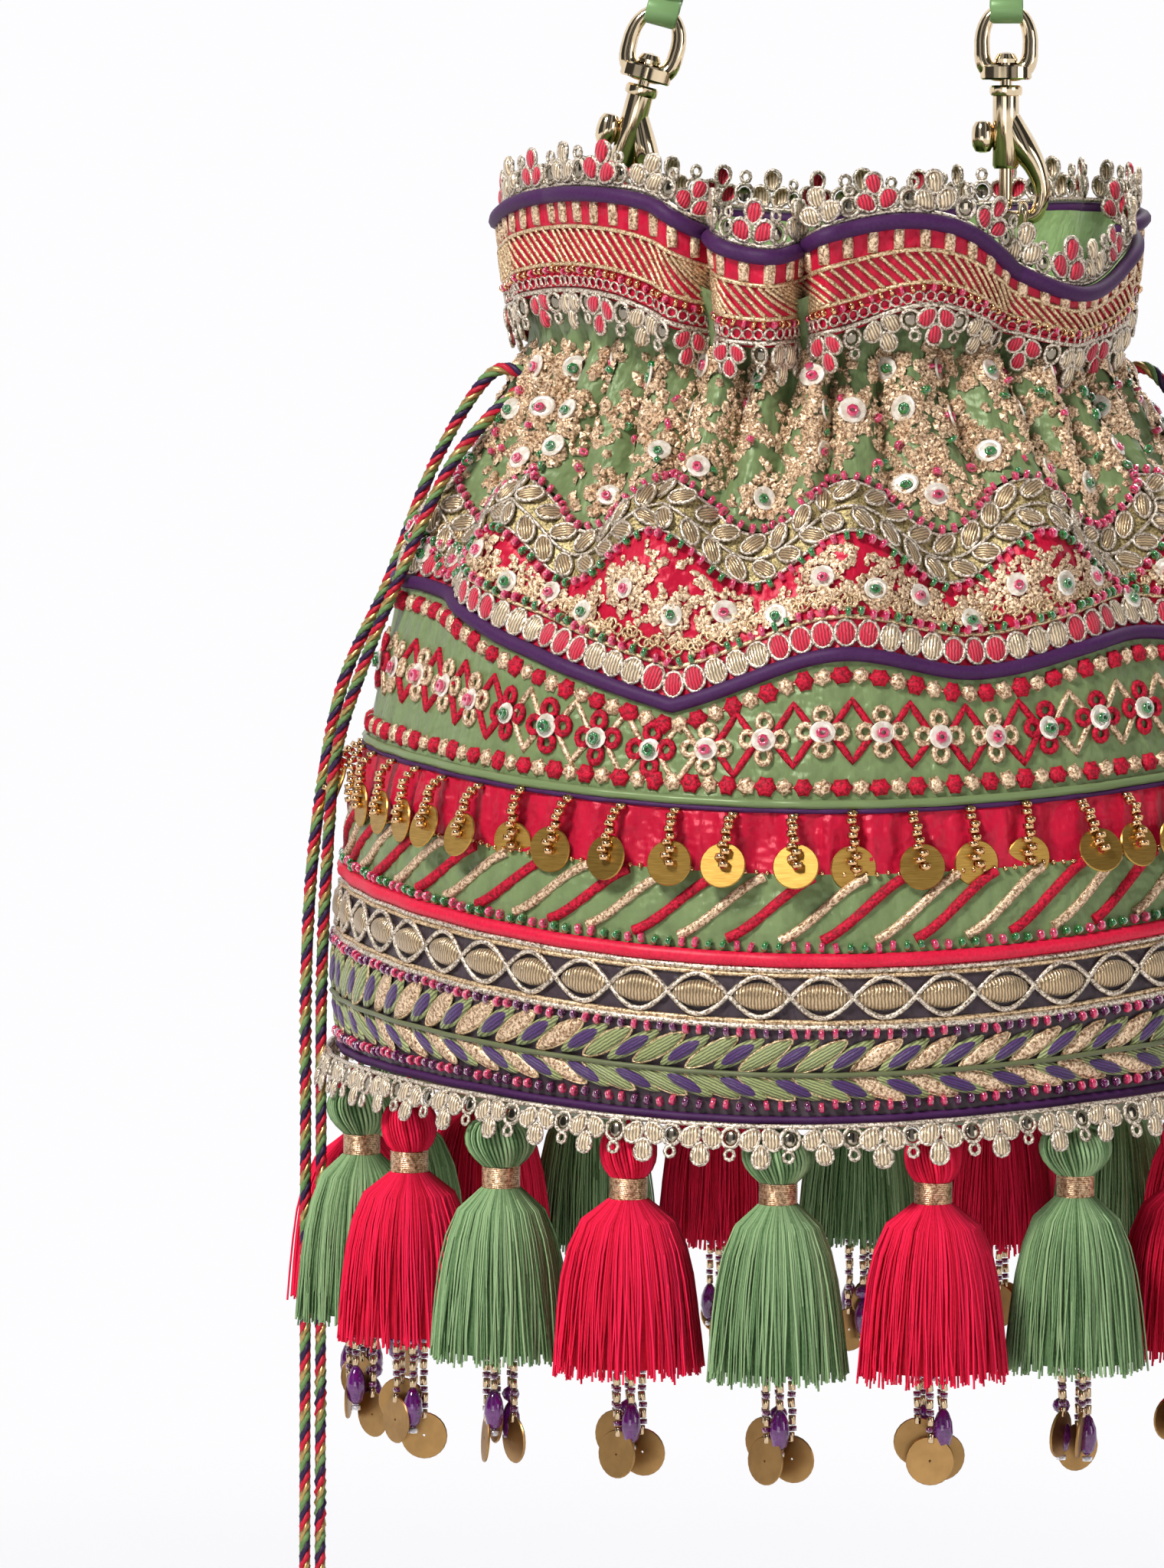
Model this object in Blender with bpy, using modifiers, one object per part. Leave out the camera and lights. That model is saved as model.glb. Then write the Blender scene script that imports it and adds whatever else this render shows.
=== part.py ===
"""A drawstring potli bag of satin tiers, hung from its strap by two bolt-snap hooks.

Metres, +Z up. The origin is the top of the strap, which the bag hangs from. Depths are measured
down from the mouth's level, and angles round the bag from the front (-Y), positive towards +X.
"""

import math

import bmesh
import bpy
from mathutils import Matrix, Vector

# Cloth and clearances
GAP = 0.0003
CLOTH = 0.0012
LINING_CLOTH = 0.0009
LINING_GAP = 0.0016
SEGMENTS = 48

# The body's outline, as radii at depths below the mouth
STRAP_RISE = 0.190
RIM_RADIUS = 0.0735
NECK_RADIUS = 0.0665
SHOULDER_RADIUS = 0.094
BELLY_RADIUS = 0.113
HEM_RADIUS = 0.112
CINCH_DEPTH = 0.041
SHOULDER_DEPTH = 0.086
HEM_DEPTH = 0.197
BELLY_DEPTH = HEM_DEPTH - 0.022
FLOOR_DEPTH = HEM_DEPTH - 0.004
PANEL_LIP = 0.0012
PANEL_SAG = 0.0105
SWELL_DEPTH = 0.125
SWELL_RADIUS = 0.1055

# Gathers and folds
PLEAT = 0.0018
LINING_LIP = 0.008
PLEAT_FADE = 0.026
FOLD = 0.0035
SCALLOPS = 13
SCALLOP_RISE = 0.006
SCALLOP_DEPTH = 0.0685
SCALLOP_PHASE = 4.0

# Seams, as depths at the sides and the extra sag at the front
DIAMOND_DEPTH = 0.1255
COIN_DEPTH = DIAMOND_DEPTH + 0.015
COIN_SAG = 0.008
STRIPE_DEPTH = COIN_DEPTH + 0.016
STRIPE_SAG = 0.011
RIM_POINTS = (
    (-90, 0.007), (-62, 0.0015), (-44, 0.0005), (-30, 0.003), (-20, 0.0105), (-8, 0.0145),
    (1, 0.0095), (14, 0.0065), (25, 0.009), (38, 0.019), (50, 0.023), (62, 0.020),
    (78, 0.011), (95, 0.006), (130, 0.004), (180, 0.007), (225, 0.003),
)
WAVE_POINTS = (
    (-90, 0.089), (-62, 0.0915), (-40, 0.102), (-18, 0.1095), (2, 0.101), (20, 0.1055),
    (44, 0.098), (66, 0.101), (90, 0.092), (120, 0.100), (150, 0.092), (180, 0.099),
    (210, 0.092), (240, 0.098),
)

# Pipings and lace
RIM_PIPING = 0.0019
WAVE_PIPING = 0.0016
STRIPE_PIPING = 0.0015
HEM_PIPING = 0.0011
LACE = 0.0008
RIM_LACE_RISE = 0.009
RIM_LACE_TIPS = 30
COLLAR_LACE_DROP = 0.010
COLLAR_LACE_TIPS = 30
COLLAR_LACE_DEPTH = 0.027
HEM_LACE_DROP = 0.0065
HEM_LACE_TIPS = 34
LACE_FLARE = 0.0012

# Coin fringe
COINS = 52
COIN_RADIUS = 0.005
COIN_THICKNESS = 0.0008
COIN_STRAND = 0.0085
STRAND_RADIUS = 0.0009
TAPE_HEIGHT = 0.0016
TAPE_THICKNESS = 0.0009
TAPE_DROP = 0.002

# Tassels
TASSELS = 20
TASSEL_PHASE = -5.0
TASSEL_RING = 0.109
TASSEL_DEPTH = HEM_DEPTH + PANEL_LIP + 0.0004
LOOP_LENGTH = 0.0074
LOOP_RADIUS = 0.0006
RED_HEAD = (0.006, 0.0105)
GREEN_HEAD = (0.0078, 0.0105)
WRAP_RADIUS = 0.0043
WRAP_LENGTH = 0.006
SKIRT_LENGTH = 0.037
RED_SKIRT = 0.0158
GREEN_SKIRT = 0.0148
DROP_LENGTH = 0.021
DROP_RADIUS = 0.0024
DROP_COIN = 0.005
DROP_SPREAD = 0.0005

# Hooks, rings and strap
RING_X = 0.046
AXIS_DEPTH = 0.006
LEAN_LEFT = 15.0
SHANK_X = -0.004
J_WIRE = 0.0017
BOLT_RADIUS = 0.0015
BOLT_GAP = 0.0003
BOLT_TRAVEL = 0.0055
BARREL_RADIUS = 0.00305
BARREL_LOW = 0.0117
BARREL_HIGH = 0.0282
COLLAR_RADIUS = 0.00375
COLLAR_HEIGHT = 0.0023
PIN_RADIUS = 0.0014
BLOCK_RADIUS = 0.0045
BLOCK_LOW = 0.0318
BLOCK_HIGH = 0.0352
JOIN = 0.001
RIVET_RADIUS = 0.0027
RIVET_HEIGHT = 0.0026
EYE_WIRE = 0.0016
EYE_HALF = 0.0053
EYE_TOP = 0.0481
EYE_CORNER = 0.0024
KNOB_HEIGHT = 0.0187
KNOB_LENGTH = 0.0073
KNOB_RADIUS = 0.00195
STEM_RADIUS = 0.0009
STEM_SINK = 0.0012
SLOT_WIDTH = 0.0024
SLOT_ROOM = 0.0013
SPRING_ROOM = 0.0022
BORE_LOW = 0.004
J_TIP_X = -0.0014
J_ROUTE = ((0.30, 0.0213), (1.0, 0.0165), (1.7, 0.0118), (2.08, 0.0070), (2.05, 0.0036), (1.75, 0.0009))
J_WIDTHS = (1.5, 1.7, 1.35, 1.05, 1.0, 1.0, 1.0, 1.0, 1.0)
RING_WIRE = 0.0011
RING_TOP_HALF = 0.007
RING_LOW_HALF = 0.0045
RING_HEIGHT = 0.013
TAB_WIDTH = 0.005
TAB_THICKNESS = 0.0012
TAB_RUN_DEPTH = 0.0365
STRAP_RADIUS = 0.003
STRAP_LOOP_WIDTH = 0.005
STRAP_LOOP_WALL = 0.0015
STRAP_LEG = 0.036
STRAP_ARCH = (
    (-0.0200, -0.074), (-0.0160, -0.044), (-0.0110, -0.015), (0.0, 0.0), (0.0130, -0.015),
    (0.0270, -0.042), (0.0375, -0.074),
)

# Drawcords
CORD_RADIUS = 0.00155
CORD_POINTS = 26
CORD_SIDE = -86.0
KNOT_RADIUS = 0.0045
KNOT_LENGTH = 0.011
OUTER_ROUTE = (
    (-82.0, 0.0692, 0.0415), (-84.0, 0.0778, 0.0425), (-85.0, 0.0900, 0.0620),
    (-85.5, 0.1010, 0.0900), (-86.0, 0.1120, 0.1150), (-86.0, 0.1180, 0.1480),
    (-86.0, 0.1203, 0.1800), (-86.0, 0.1206, 0.2200), (-86.0, 0.1208, 0.2600),
    (-86.0, 0.1210, 0.3000), (-86.0, 0.1212, 0.3400),
)
INNER_ROUTE = (
    (-75.0, 0.0705, 0.0440), (-73.0, 0.0805, 0.0520), (-72.0, 0.0905, 0.0640),
    (-73.0, 0.1005, 0.0860), (-76.0, 0.1085, 0.1080), (-80.0, 0.1138, 0.1290),
    (-84.0, 0.1156, 0.1560), (-86.0, 0.1168, 0.1850), (-86.0, 0.1170, 0.2200),
    (-86.0, 0.1172, 0.2600), (-86.0, 0.1174, 0.3000), (-86.0, 0.1176, 0.3400),
)

collection = None


def clear_scene():
    for item in list(bpy.data.objects):
        bpy.data.objects.remove(item, do_unlink=True)


def material(name, colour, roughness=0.6, metallic=0.0):
    mat = bpy.data.materials.new(name)
    mat.use_nodes = True
    shader = mat.node_tree.nodes["Principled BSDF"]
    shader.inputs["Base Color"].default_value = (*colour, 1.0)
    shader.inputs["Roughness"].default_value = roughness
    shader.inputs["Metallic"].default_value = metallic
    return mat


def make_object(name, mesh, mat):
    obj = bpy.data.objects.new(name, mesh)
    collection.objects.link(obj)
    obj.data.materials.clear()
    obj.data.materials.append(mat)
    return obj


def scratch_object(mesh):
    """A working solid that is joined or cut and then removed."""
    obj = bpy.data.objects.new("work", mesh)
    collection.objects.link(obj)
    return obj


def mesh_from(bm, smooth=True):
    bmesh.ops.recalc_face_normals(bm, faces=bm.faces)
    mesh = bpy.data.meshes.new("mesh")
    bm.to_mesh(mesh)
    bm.free()
    if smooth:
        mesh.shade_smooth()
        mesh.set_sharp_from_angle(angle=math.radians(40))
    return mesh


def baked(obj):
    """The evaluated mesh of a working object, which is then removed."""
    depsgraph = bpy.context.evaluated_depsgraph_get()
    mesh = bpy.data.meshes.new_from_object(obj.evaluated_get(depsgraph))
    bm = bmesh.new()
    bm.from_mesh(mesh)
    bmesh.ops.transform(bm, matrix=obj.matrix_world, verts=bm.verts)
    bmesh.ops.remove_doubles(bm, verts=bm.verts, dist=0.000001)
    bmesh.ops.recalc_face_normals(bm, faces=bm.faces)
    bm.to_mesh(mesh)
    bm.free()
    bpy.data.objects.remove(obj, do_unlink=True)
    return mesh


def combine(base, others, operation):
    """One mesh from a base mesh and others, joined or cut in turn."""
    body = scratch_object(base)
    for other in others:
        tool = scratch_object(other)
        step = body.modifiers.new("step", "BOOLEAN")
        step.operation = operation
        step.object = tool
        mesh = baked(body)
        bpy.data.objects.remove(tool, do_unlink=True)
        body = scratch_object(mesh)
    mesh = body.data
    bpy.data.objects.remove(body, do_unlink=True)
    return mesh


def cylinder(radius, length, centre, axis="Z", sides=16, tip_radius=None):
    bm = bmesh.new()
    tip = radius if tip_radius is None else tip_radius
    bmesh.ops.create_cone(bm, cap_ends=True, segments=sides, radius1=radius, radius2=tip, depth=length)
    turn = {"X": Matrix.Rotation(math.pi / 2, 4, "Y"), "Y": Matrix.Rotation(-math.pi / 2, 4, "X")}
    matrix = Matrix.Translation(centre) @ turn.get(axis, Matrix.Identity(4))
    bmesh.ops.transform(bm, matrix=matrix, verts=bm.verts)
    return mesh_from(bm)


def box(size, centre, turn=None):
    bm = bmesh.new()
    bmesh.ops.create_cube(bm, size=1.0)
    matrix = Matrix.Translation(centre) @ (turn or Matrix.Identity(4)) @ Matrix.Diagonal((*size, 1.0))
    bmesh.ops.transform(bm, matrix=matrix, verts=bm.verts)
    return mesh_from(bm, smooth=False)


def tube(points, radius, cyclic=False, resolution=2, radii=None):
    """A round wire through the points, as a closed mesh."""
    curve = bpy.data.curves.new("wire", "CURVE")
    curve.dimensions = "3D"
    curve.bevel_depth = radius
    curve.bevel_resolution = resolution
    curve.use_fill_caps = True
    spline = curve.splines.new("POLY")
    spline.points.add(len(points) - 1)
    for index, point in enumerate(points):
        spline.points[index].co = (*point, 1.0)
        spline.points[index].radius = radii[index] if radii else 1.0
    spline.use_cyclic_u = cyclic
    obj = bpy.data.objects.new("wire", curve)
    collection.objects.link(obj)
    mesh = baked(obj)
    mesh.shade_smooth()
    mesh.set_sharp_from_angle(angle=math.radians(50))
    return mesh


def hermite(points, at):
    """A smooth value at a place along sorted points of place and value."""
    index = max(0, min(len(points) - 2, sum(1 for place, _ in points[1:] if place <= at)))
    before = points[max(index - 1, 0)]
    start, end = points[index], points[index + 1]
    after = points[min(index + 2, len(points) - 1)]
    span = end[0] - start[0]
    rise_in = (end[1] - before[1]) / (end[0] - before[0])
    rise_out = (after[1] - start[1]) / (after[0] - start[0])
    t = (at - start[0]) / span
    return (
        (2 * t**3 - 3 * t**2 + 1) * start[1]
        + (t**3 - 2 * t**2 + t) * span * rise_in
        + (3 * t**2 - 2 * t**3) * end[1]
        + (t**3 - t**2) * span * rise_out
    )


def smooth_path(points, count):
    """Evenly numbered points on a smooth curve through chosen points."""
    numbered = [[(index, point[axis]) for index, point in enumerate(points)] for axis in range(3)]
    steps = [index * (len(points) - 1) / (count - 1) for index in range(count)]
    return [Vector([hermite(axis, step) for axis in numbered]) for step in steps]


def round_value(points, degrees):
    """A smooth value round the bag, from points of angle and value over one turn."""
    start = points[0][0]
    turned = (degrees - start) % 360 + start
    last = (points[-1][0] - 360, points[-1][1])
    return hermite((last, *points, (start + 360, points[0][1]), (points[1][0] + 360, points[1][1])), turned)


def sag(degrees):
    """How much of a seam's extra front sag shows at an angle."""
    return max(0.0, math.cos(math.radians(degrees))) ** 2


def profile(depth):
    """The cloth's outer radius at a depth, before gathers."""
    points = (
        (0.0, RIM_RADIUS), (CINCH_DEPTH / 2, (RIM_RADIUS + NECK_RADIUS) / 2 + FOLD / 4),
        (CINCH_DEPTH, NECK_RADIUS), (SHOULDER_DEPTH, SHOULDER_RADIUS), (SWELL_DEPTH, SWELL_RADIUS),
        (BELLY_DEPTH, BELLY_RADIUS), (HEM_DEPTH, HEM_RADIUS),
    )
    return hermite(points, min(max(depth, 0.0), HEM_DEPTH))


def gathered(depth, degrees, index):
    """The outer radius with the neck's pleats and the collar's folds."""
    near = max(0.0, 1 - abs(depth - CINCH_DEPTH) / PLEAT_FADE)
    pleat = PLEAT * near * (1 if index % 2 else -1)
    collar = max(0.0, 1 - depth / CINCH_DEPTH)
    fold = FOLD * collar * math.cos(math.radians(5 * degrees + 40))
    return profile(depth) + pleat + fold


def rim_depth(degrees):
    return round_value(RIM_POINTS, degrees)


def scallop_depth(degrees):
    return SCALLOP_DEPTH - SCALLOP_RISE * math.cos(math.radians(SCALLOPS * (degrees - SCALLOP_PHASE)))


def wave_depth(degrees):
    return round_value(WAVE_POINTS, degrees)


def diamond_depth(degrees):
    return DIAMOND_DEPTH + COIN_SAG * sag(degrees)


def coin_depth(degrees):
    return COIN_DEPTH + COIN_SAG * sag(degrees)


def stripe_depth(degrees):
    return STRIPE_DEPTH + STRIPE_SAG * sag(degrees)


def hem_depth(degrees):
    return HEM_DEPTH


def spot(radius, degrees, depth):
    """A point in the world from the bag's own round coordinates."""
    angle = math.radians(degrees)
    return Vector((radius * math.sin(angle), -radius * math.cos(angle), -STRAP_RISE - depth))


def turn_angles(count, phase=0.0):
    return [phase + 360 * index / count for index in range(count)]


def cloth_ring(name, top, bottom, rows, mat, radius=gathered, thickness=CLOTH, count=SEGMENTS):
    """A band of cloth between two seams, with its thickness inwards."""
    bm = bmesh.new()
    grid = []
    for index, degrees in enumerate(turn_angles(count)):
        high, low = top(degrees), bottom(degrees)
        depths = [high + (low - high) * row / (rows - 1) for row in range(rows)]
        grid.append([bm.verts.new(spot(radius(depth, degrees, index), degrees, depth)) for depth in depths])
    for index, column in enumerate(grid):
        following = grid[(index + 1) % count]
        for row in range(rows - 1):
            bm.faces.new((column[row], column[row + 1], following[row + 1], following[row]))
    obj = make_object(name, mesh_from(bm), mat)
    face = obj.data.polygons[0]
    outward = face.normal.dot(Vector((face.center.x, face.center.y, 0))) > 0
    wall = obj.modifiers.new("thickness", "SOLIDIFY")
    wall.thickness = thickness
    wall.offset = -1 if outward else 1
    return obj


def piping(name, seam, wire, mat, out=0.0, count=SEGMENTS):
    """A covered cord along a seam, between the bands that it joins."""
    path = []
    for index, degrees in enumerate(turn_angles(count)):
        depth = seam(degrees)
        path.append(spot(gathered(depth, degrees, index) - CLOTH / 2 + out, degrees, depth))
    sides = 1 if wire > HEM_PIPING else 0
    return make_object(name, tube(path, wire, cyclic=True, resolution=sides), mat)


def build_body(mats):
    def below(seam, drop):
        return lambda degrees: seam(degrees) + drop

    rim_clear = RIM_PIPING * 1.25 + GAP
    wave_clear = WAVE_PIPING * 1.35 + GAP
    stripe_clear = STRIPE_PIPING * 1.2 + GAP
    cloth_ring("neck_panel", below(rim_depth, rim_clear), scallop_depth, 7, mats["green"])
    cloth_ring("shoulder_band", below(scallop_depth, GAP), below(wave_depth, -wave_clear), 3, mats["red"])
    cloth_ring("diamond_band", below(wave_depth, wave_clear), below(diamond_depth, -GAP), 3, mats["green"])
    cloth_ring("coin_band", diamond_depth, below(coin_depth, -GAP), 2, mats["red"])
    cloth_ring("stripe_band", coin_depth, below(stripe_depth, -stripe_clear), 2, mats["green"])
    cloth_ring("hem_band", below(stripe_depth, stripe_clear), below(hem_depth, -HEM_PIPING * 1.2 - GAP),
               3, mats["gold"])
    piping("rim_piping", rim_depth, RIM_PIPING, mats["purple"])
    piping("wave_piping", wave_depth, WAVE_PIPING, mats["purple"])
    piping("crimson_piping", stripe_depth, STRIPE_PIPING, mats["red"])
    piping("hem_piping", hem_depth, HEM_PIPING, mats["purple"])


def lining_radius(depth, degrees):
    """The lining's outer radius, clear of the gathers' inner folds."""
    return gathered(depth, degrees, 0) - CLOTH - LINING_GAP


def build_lining(mats):
    """A cloth cup inside the tiers, and the round panel that closes them below."""
    rows = (LINING_LIP, 0.024, CINCH_DEPTH, 0.060, SHOULDER_DEPTH, SWELL_DEPTH, BELLY_DEPTH, FLOOR_DEPTH - 0.001)
    count = SEGMENTS // 2
    bm = bmesh.new()
    rings = []
    for row, depth in enumerate(rows):
        ring = []
        for degrees in turn_angles(count):
            at = depth + rim_depth(degrees) if row == 0 else max(depth, rim_depth(degrees) + 0.012)
            ring.append(bm.verts.new(spot(lining_radius(at, degrees), degrees, at)))
        rings.append(ring)
    for upper, lower in zip(rings, rings[1:]):
        for index in range(count):
            after = (index + 1) % count
            bm.faces.new((upper[index], lower[index], lower[after], upper[after]))
    middle = bm.verts.new(spot(0.0, 0.0, FLOOR_DEPTH))
    for index in range(count):
        bm.faces.new((rings[-1][index], middle, rings[-1][(index + 1) % count]))
    lining = make_object("lining", mesh_from(bm), mats["lining"])
    wall = lining.modifiers.new("thickness", "SOLIDIFY")
    wall.thickness = LINING_CLOTH
    face = lining.data.polygons[0]
    outward = face.normal.dot(Vector((face.center.x, face.center.y, 0))) > 0
    wall.offset = -1 if outward else 1
    panel_radius = TASSEL_RING - GREEN_HEAD[0] - 0.003
    panel = bmesh.new()
    rim = HEM_RADIUS - CLOTH - GAP * 2
    outline = (
        (rim, FLOOR_DEPTH + GAP * 2), (rim, HEM_DEPTH + PANEL_LIP),
        (panel_radius + 0.003, HEM_DEPTH + PANEL_LIP), (panel_radius - 0.006, HEM_DEPTH + PANEL_SAG),
        (panel_radius * 0.6, HEM_DEPTH + PANEL_SAG * 0.85),
    )
    count = SEGMENTS
    loops = []
    for radius, depth in outline:
        loops.append([panel.verts.new(spot(radius, degrees, depth)) for degrees in turn_angles(count)])
    for upper, lower in zip(loops, loops[1:]):
        for index in range(count):
            after = (index + 1) % count
            panel.faces.new((upper[index], lower[index], lower[after], upper[after]))
    panel.faces.new(loops[-1])
    panel.faces.new(list(reversed(loops[0])))
    make_object("base_panel", mesh_from(panel), mats["green"])


def lace_ring(name, tips, top, drop, out_top, out_low, mat, rise=False):
    """A band of lace whose free edge runs in points."""
    count = tips * 2
    bm = bmesh.new()
    upper, lower = [], []
    for index, degrees in enumerate(turn_angles(count)):
        seam = top(degrees)
        reach = drop if index % 2 else drop * 0.55
        free = seam - reach if rise else seam + reach
        radius = gathered(seam, degrees, 0) / 2 + gathered(seam, degrees, 1) / 2
        upper.append(bm.verts.new(spot(radius + out_top, degrees, min(seam, free))))
        lower.append(bm.verts.new(spot(radius + out_low, degrees, max(seam, free))))
    for index in range(count):
        after = (index + 1) % count
        bm.faces.new((upper[index], lower[index], lower[after], upper[after]))
    obj = make_object(name, mesh_from(bm), mat)
    face = obj.data.polygons[0]
    outward = face.normal.dot(Vector((face.center.x, face.center.y, 0))) > 0
    wall = obj.modifiers.new("thickness", "SOLIDIFY")
    wall.thickness = LACE
    wall.offset = 1 if outward else -1
    return obj


def build_laces(mats):
    lace_ring("rim_lace", RIM_LACE_TIPS, lambda a: rim_depth(a) - RIM_PIPING * 1.25 - GAP, RIM_LACE_RISE,
              0.0, -CLOTH, mats["lace"], rise=True)
    lace_ring("collar_lace", COLLAR_LACE_TIPS, lambda a: COLLAR_LACE_DEPTH + rim_depth(a) * 0.25,
              COLLAR_LACE_DROP, PLEAT + GAP * 2, PLEAT + GAP * 2, mats["lace"])
    lace_ring("hem_lace", HEM_LACE_TIPS, lambda a: HEM_DEPTH + HEM_PIPING * 0.2, HEM_LACE_DROP,
              HEM_PIPING - CLOTH / 2 + GAP, HEM_PIPING - CLOTH / 2 + GAP + LACE_FLARE, mats["lace"])


def pendant():
    """One bead strand with the disc that hangs from it, at +X, hanging from its origin."""
    strand = cylinder(STRAND_RADIUS, COIN_STRAND, (0, 0, -COIN_STRAND / 2), sides=3)
    disc = cylinder(COIN_RADIUS, COIN_THICKNESS, (0, 0, -COIN_STRAND - COIN_RADIUS * 0.8), "X", sides=8)
    return combine(strand, [disc], "UNION")


def build_fringe(mats):
    """The tape with every strand and disc on it, as one sewn trim."""
    inner, outer = GAP * 2, GAP * 2 + TAPE_THICKNESS
    bm = bmesh.new()
    rings = []
    for degrees in turn_angles(COINS):
        depth = diamond_depth(degrees) - TAPE_DROP
        radius = profile(depth)
        section = ((radius + inner, depth), (radius + outer, depth),
                   (radius + outer, depth + TAPE_HEIGHT), (radius + inner, depth + TAPE_HEIGHT))
        rings.append([bm.verts.new(spot(r, degrees, d)) for r, d in section])
    for index, ring in enumerate(rings):
        after = rings[(index + 1) % COINS]
        for corner in range(4):
            following = (corner + 1) % 4
            bm.faces.new((ring[corner], ring[following], after[following], after[corner]))
    tape = mesh_from(bm)
    one = pendant()
    pendants = bmesh.new()
    for degrees in turn_angles(COINS, 360 / COINS / 2):
        depth = diamond_depth(degrees) - TAPE_DROP
        low = profile(depth + COIN_STRAND + COIN_RADIUS * 2)
        lean = math.atan2(low - profile(depth), COIN_STRAND + COIN_RADIUS * 2)
        place = Matrix.Translation(spot(profile(depth) + outer, degrees, depth + TAPE_HEIGHT / 4))
        turn = Matrix.Rotation(math.radians(degrees - 90), 4, "Z") @ Matrix.Rotation(-lean, 4, "Y")
        copy = one.copy()
        copy.transform(place @ turn)
        pendants.from_mesh(copy)
    everything = mesh_from(pendants)
    make_object("coin_fringe", combine(tape, [everything], "UNION"), mats["brass"])


def tassel_mesh(head, skirt):
    """A tassel hanging from its origin: loop, head, wire wrap, skirt and bead drop, with two discs."""
    radius, height = head
    neck = LOOP_LENGTH + height
    hang = neck + WRAP_LENGTH
    bottom = hang + SKIRT_LENGTH
    outline = (
        (0.0, 0.0), (LOOP_RADIUS, 0.0), (LOOP_RADIUS, LOOP_LENGTH), (radius * 0.75, LOOP_LENGTH + height * 0.12),
        (radius, LOOP_LENGTH + height * 0.5), (WRAP_RADIUS, neck), (WRAP_RADIUS, hang),
        (skirt * 0.62, hang + SKIRT_LENGTH * 0.3), (skirt, bottom), (DROP_RADIUS, bottom - 0.0015),
        (0.0, bottom + DROP_LENGTH),
    )
    mesh = bpy.data.meshes.new("outline")
    mesh.from_pydata([(r, 0, -d) for r, d in outline], [(i, i + 1) for i in range(len(outline) - 1)], [])
    obj = scratch_object(mesh)
    turned = obj.modifiers.new("turn", "SCREW")
    turned.steps = 7
    turned.render_steps = 7
    turned.use_merge_vertices = True
    turned.merge_threshold = 0.00005
    turned.use_normal_calculate = True
    body = baked(obj)
    low = bottom + DROP_LENGTH
    discs = [
        cylinder(DROP_COIN, COIN_THICKNESS, (DROP_RADIUS * 0.4, -DROP_SPREAD, -low + DROP_COIN), "Y", sides=7),
        cylinder(DROP_COIN, COIN_THICKNESS, (-DROP_RADIUS * 0.5, DROP_SPREAD, -low + DROP_COIN * 2), "Y", sides=7),
    ]
    whole = combine(body, discs, "UNION")
    whole.shade_smooth()
    whole.set_sharp_from_angle(angle=math.radians(40))
    return whole


def build_tassels(mats):
    shapes = {"red": tassel_mesh(RED_HEAD, RED_SKIRT), "yarn_green": tassel_mesh(GREEN_HEAD, GREEN_SKIRT)}
    for number, degrees in enumerate(turn_angles(TASSELS, TASSEL_PHASE)):
        kind = "red" if number % 2 else "yarn_green"
        tassel = make_object(f"tassel_{number + 1:02d}", shapes[kind], mats[kind])
        tassel.location = spot(TASSEL_RING, degrees, TASSEL_DEPTH)
        tassel.rotation_euler.z = math.radians(degrees)


def loop_points(half, low, high, corner, steps=4):
    """A closed path in XZ with round corners."""
    centres = ((half - corner, high - corner, 0), (-half + corner, high - corner, 90),
               (-half + corner, low + corner, 180), (half - corner, low + corner, 270))
    points = []
    for x, z, start in centres:
        for step in range(steps + 1):
            angle = math.radians(start + 90 * step / steps)
            points.append((x + corner * math.cos(angle), 0, z + corner * math.sin(angle)))
    return points


def hook_mesh():
    """Rivet, pin, collar, barrel and J of a snap hook, about its shank axis with z=0 at the J's low wire."""
    barrel = cylinder(BARREL_RADIUS, BARREL_HIGH - BARREL_LOW, (0, 0, (BARREL_HIGH + BARREL_LOW) / 2))
    collar = cylinder(COLLAR_RADIUS, COLLAR_HEIGHT, (0, 0, BARREL_HIGH + COLLAR_HEIGHT / 2 - GAP))
    rivet_low = BLOCK_HIGH + GAP
    pin_high = rivet_low + JOIN
    pin = cylinder(PIN_RADIUS, pin_high - BARREL_HIGH, (0, 0, (pin_high + BARREL_HIGH) / 2), sides=12)
    rivet = cylinder(RIVET_RADIUS, RIVET_HEIGHT, (0, 0, rivet_low + RIVET_HEIGHT / 2), sides=12,
                     tip_radius=RIVET_RADIUS * 0.7)
    reach = -SHANK_X
    route = [(reach * part, 0, z) for part, z in J_ROUTE]
    route += [(reach * 1.3, 0, 0), (reach * 0.5, 0, 0), (J_TIP_X, 0, 0)]
    bow = tube(route, J_WIRE, radii=J_WIDTHS)
    solid = combine(barrel, [collar, pin, rivet, bow], "UNION")
    bore_radius = BOLT_RADIUS + BOLT_GAP
    top = KNOB_HEIGHT + BOLT_TRAVEL + SPRING_ROOM
    bore = cylinder(bore_radius, top - BORE_LOW, (0, 0, (top + BORE_LOW) / 2))
    slot_height = BOLT_TRAVEL + SLOT_ROOM * 2
    slot = box((BARREL_RADIUS * 2, SLOT_WIDTH, slot_height),
               (-BARREL_RADIUS, 0, KNOB_HEIGHT - SLOT_ROOM + slot_height / 2))
    return combine(solid, [bore, slot], "DIFFERENCE")


def bolt_mesh():
    low = J_WIRE + GAP
    high = KNOB_HEIGHT + STEM_SINK
    pin = cylinder(BOLT_RADIUS, high - low, (0, 0, (high + low) / 2))
    reach = BARREL_RADIUS + STEM_SINK
    stem = cylinder(STEM_RADIUS, reach, (-reach / 2, 0, KNOB_HEIGHT), "X", sides=8)
    knob = cylinder(KNOB_RADIUS, KNOB_LENGTH, (-BARREL_RADIUS - GAP - KNOB_RADIUS, 0, KNOB_HEIGHT), sides=12)
    return combine(pin, [stem, knob], "UNION")


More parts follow.
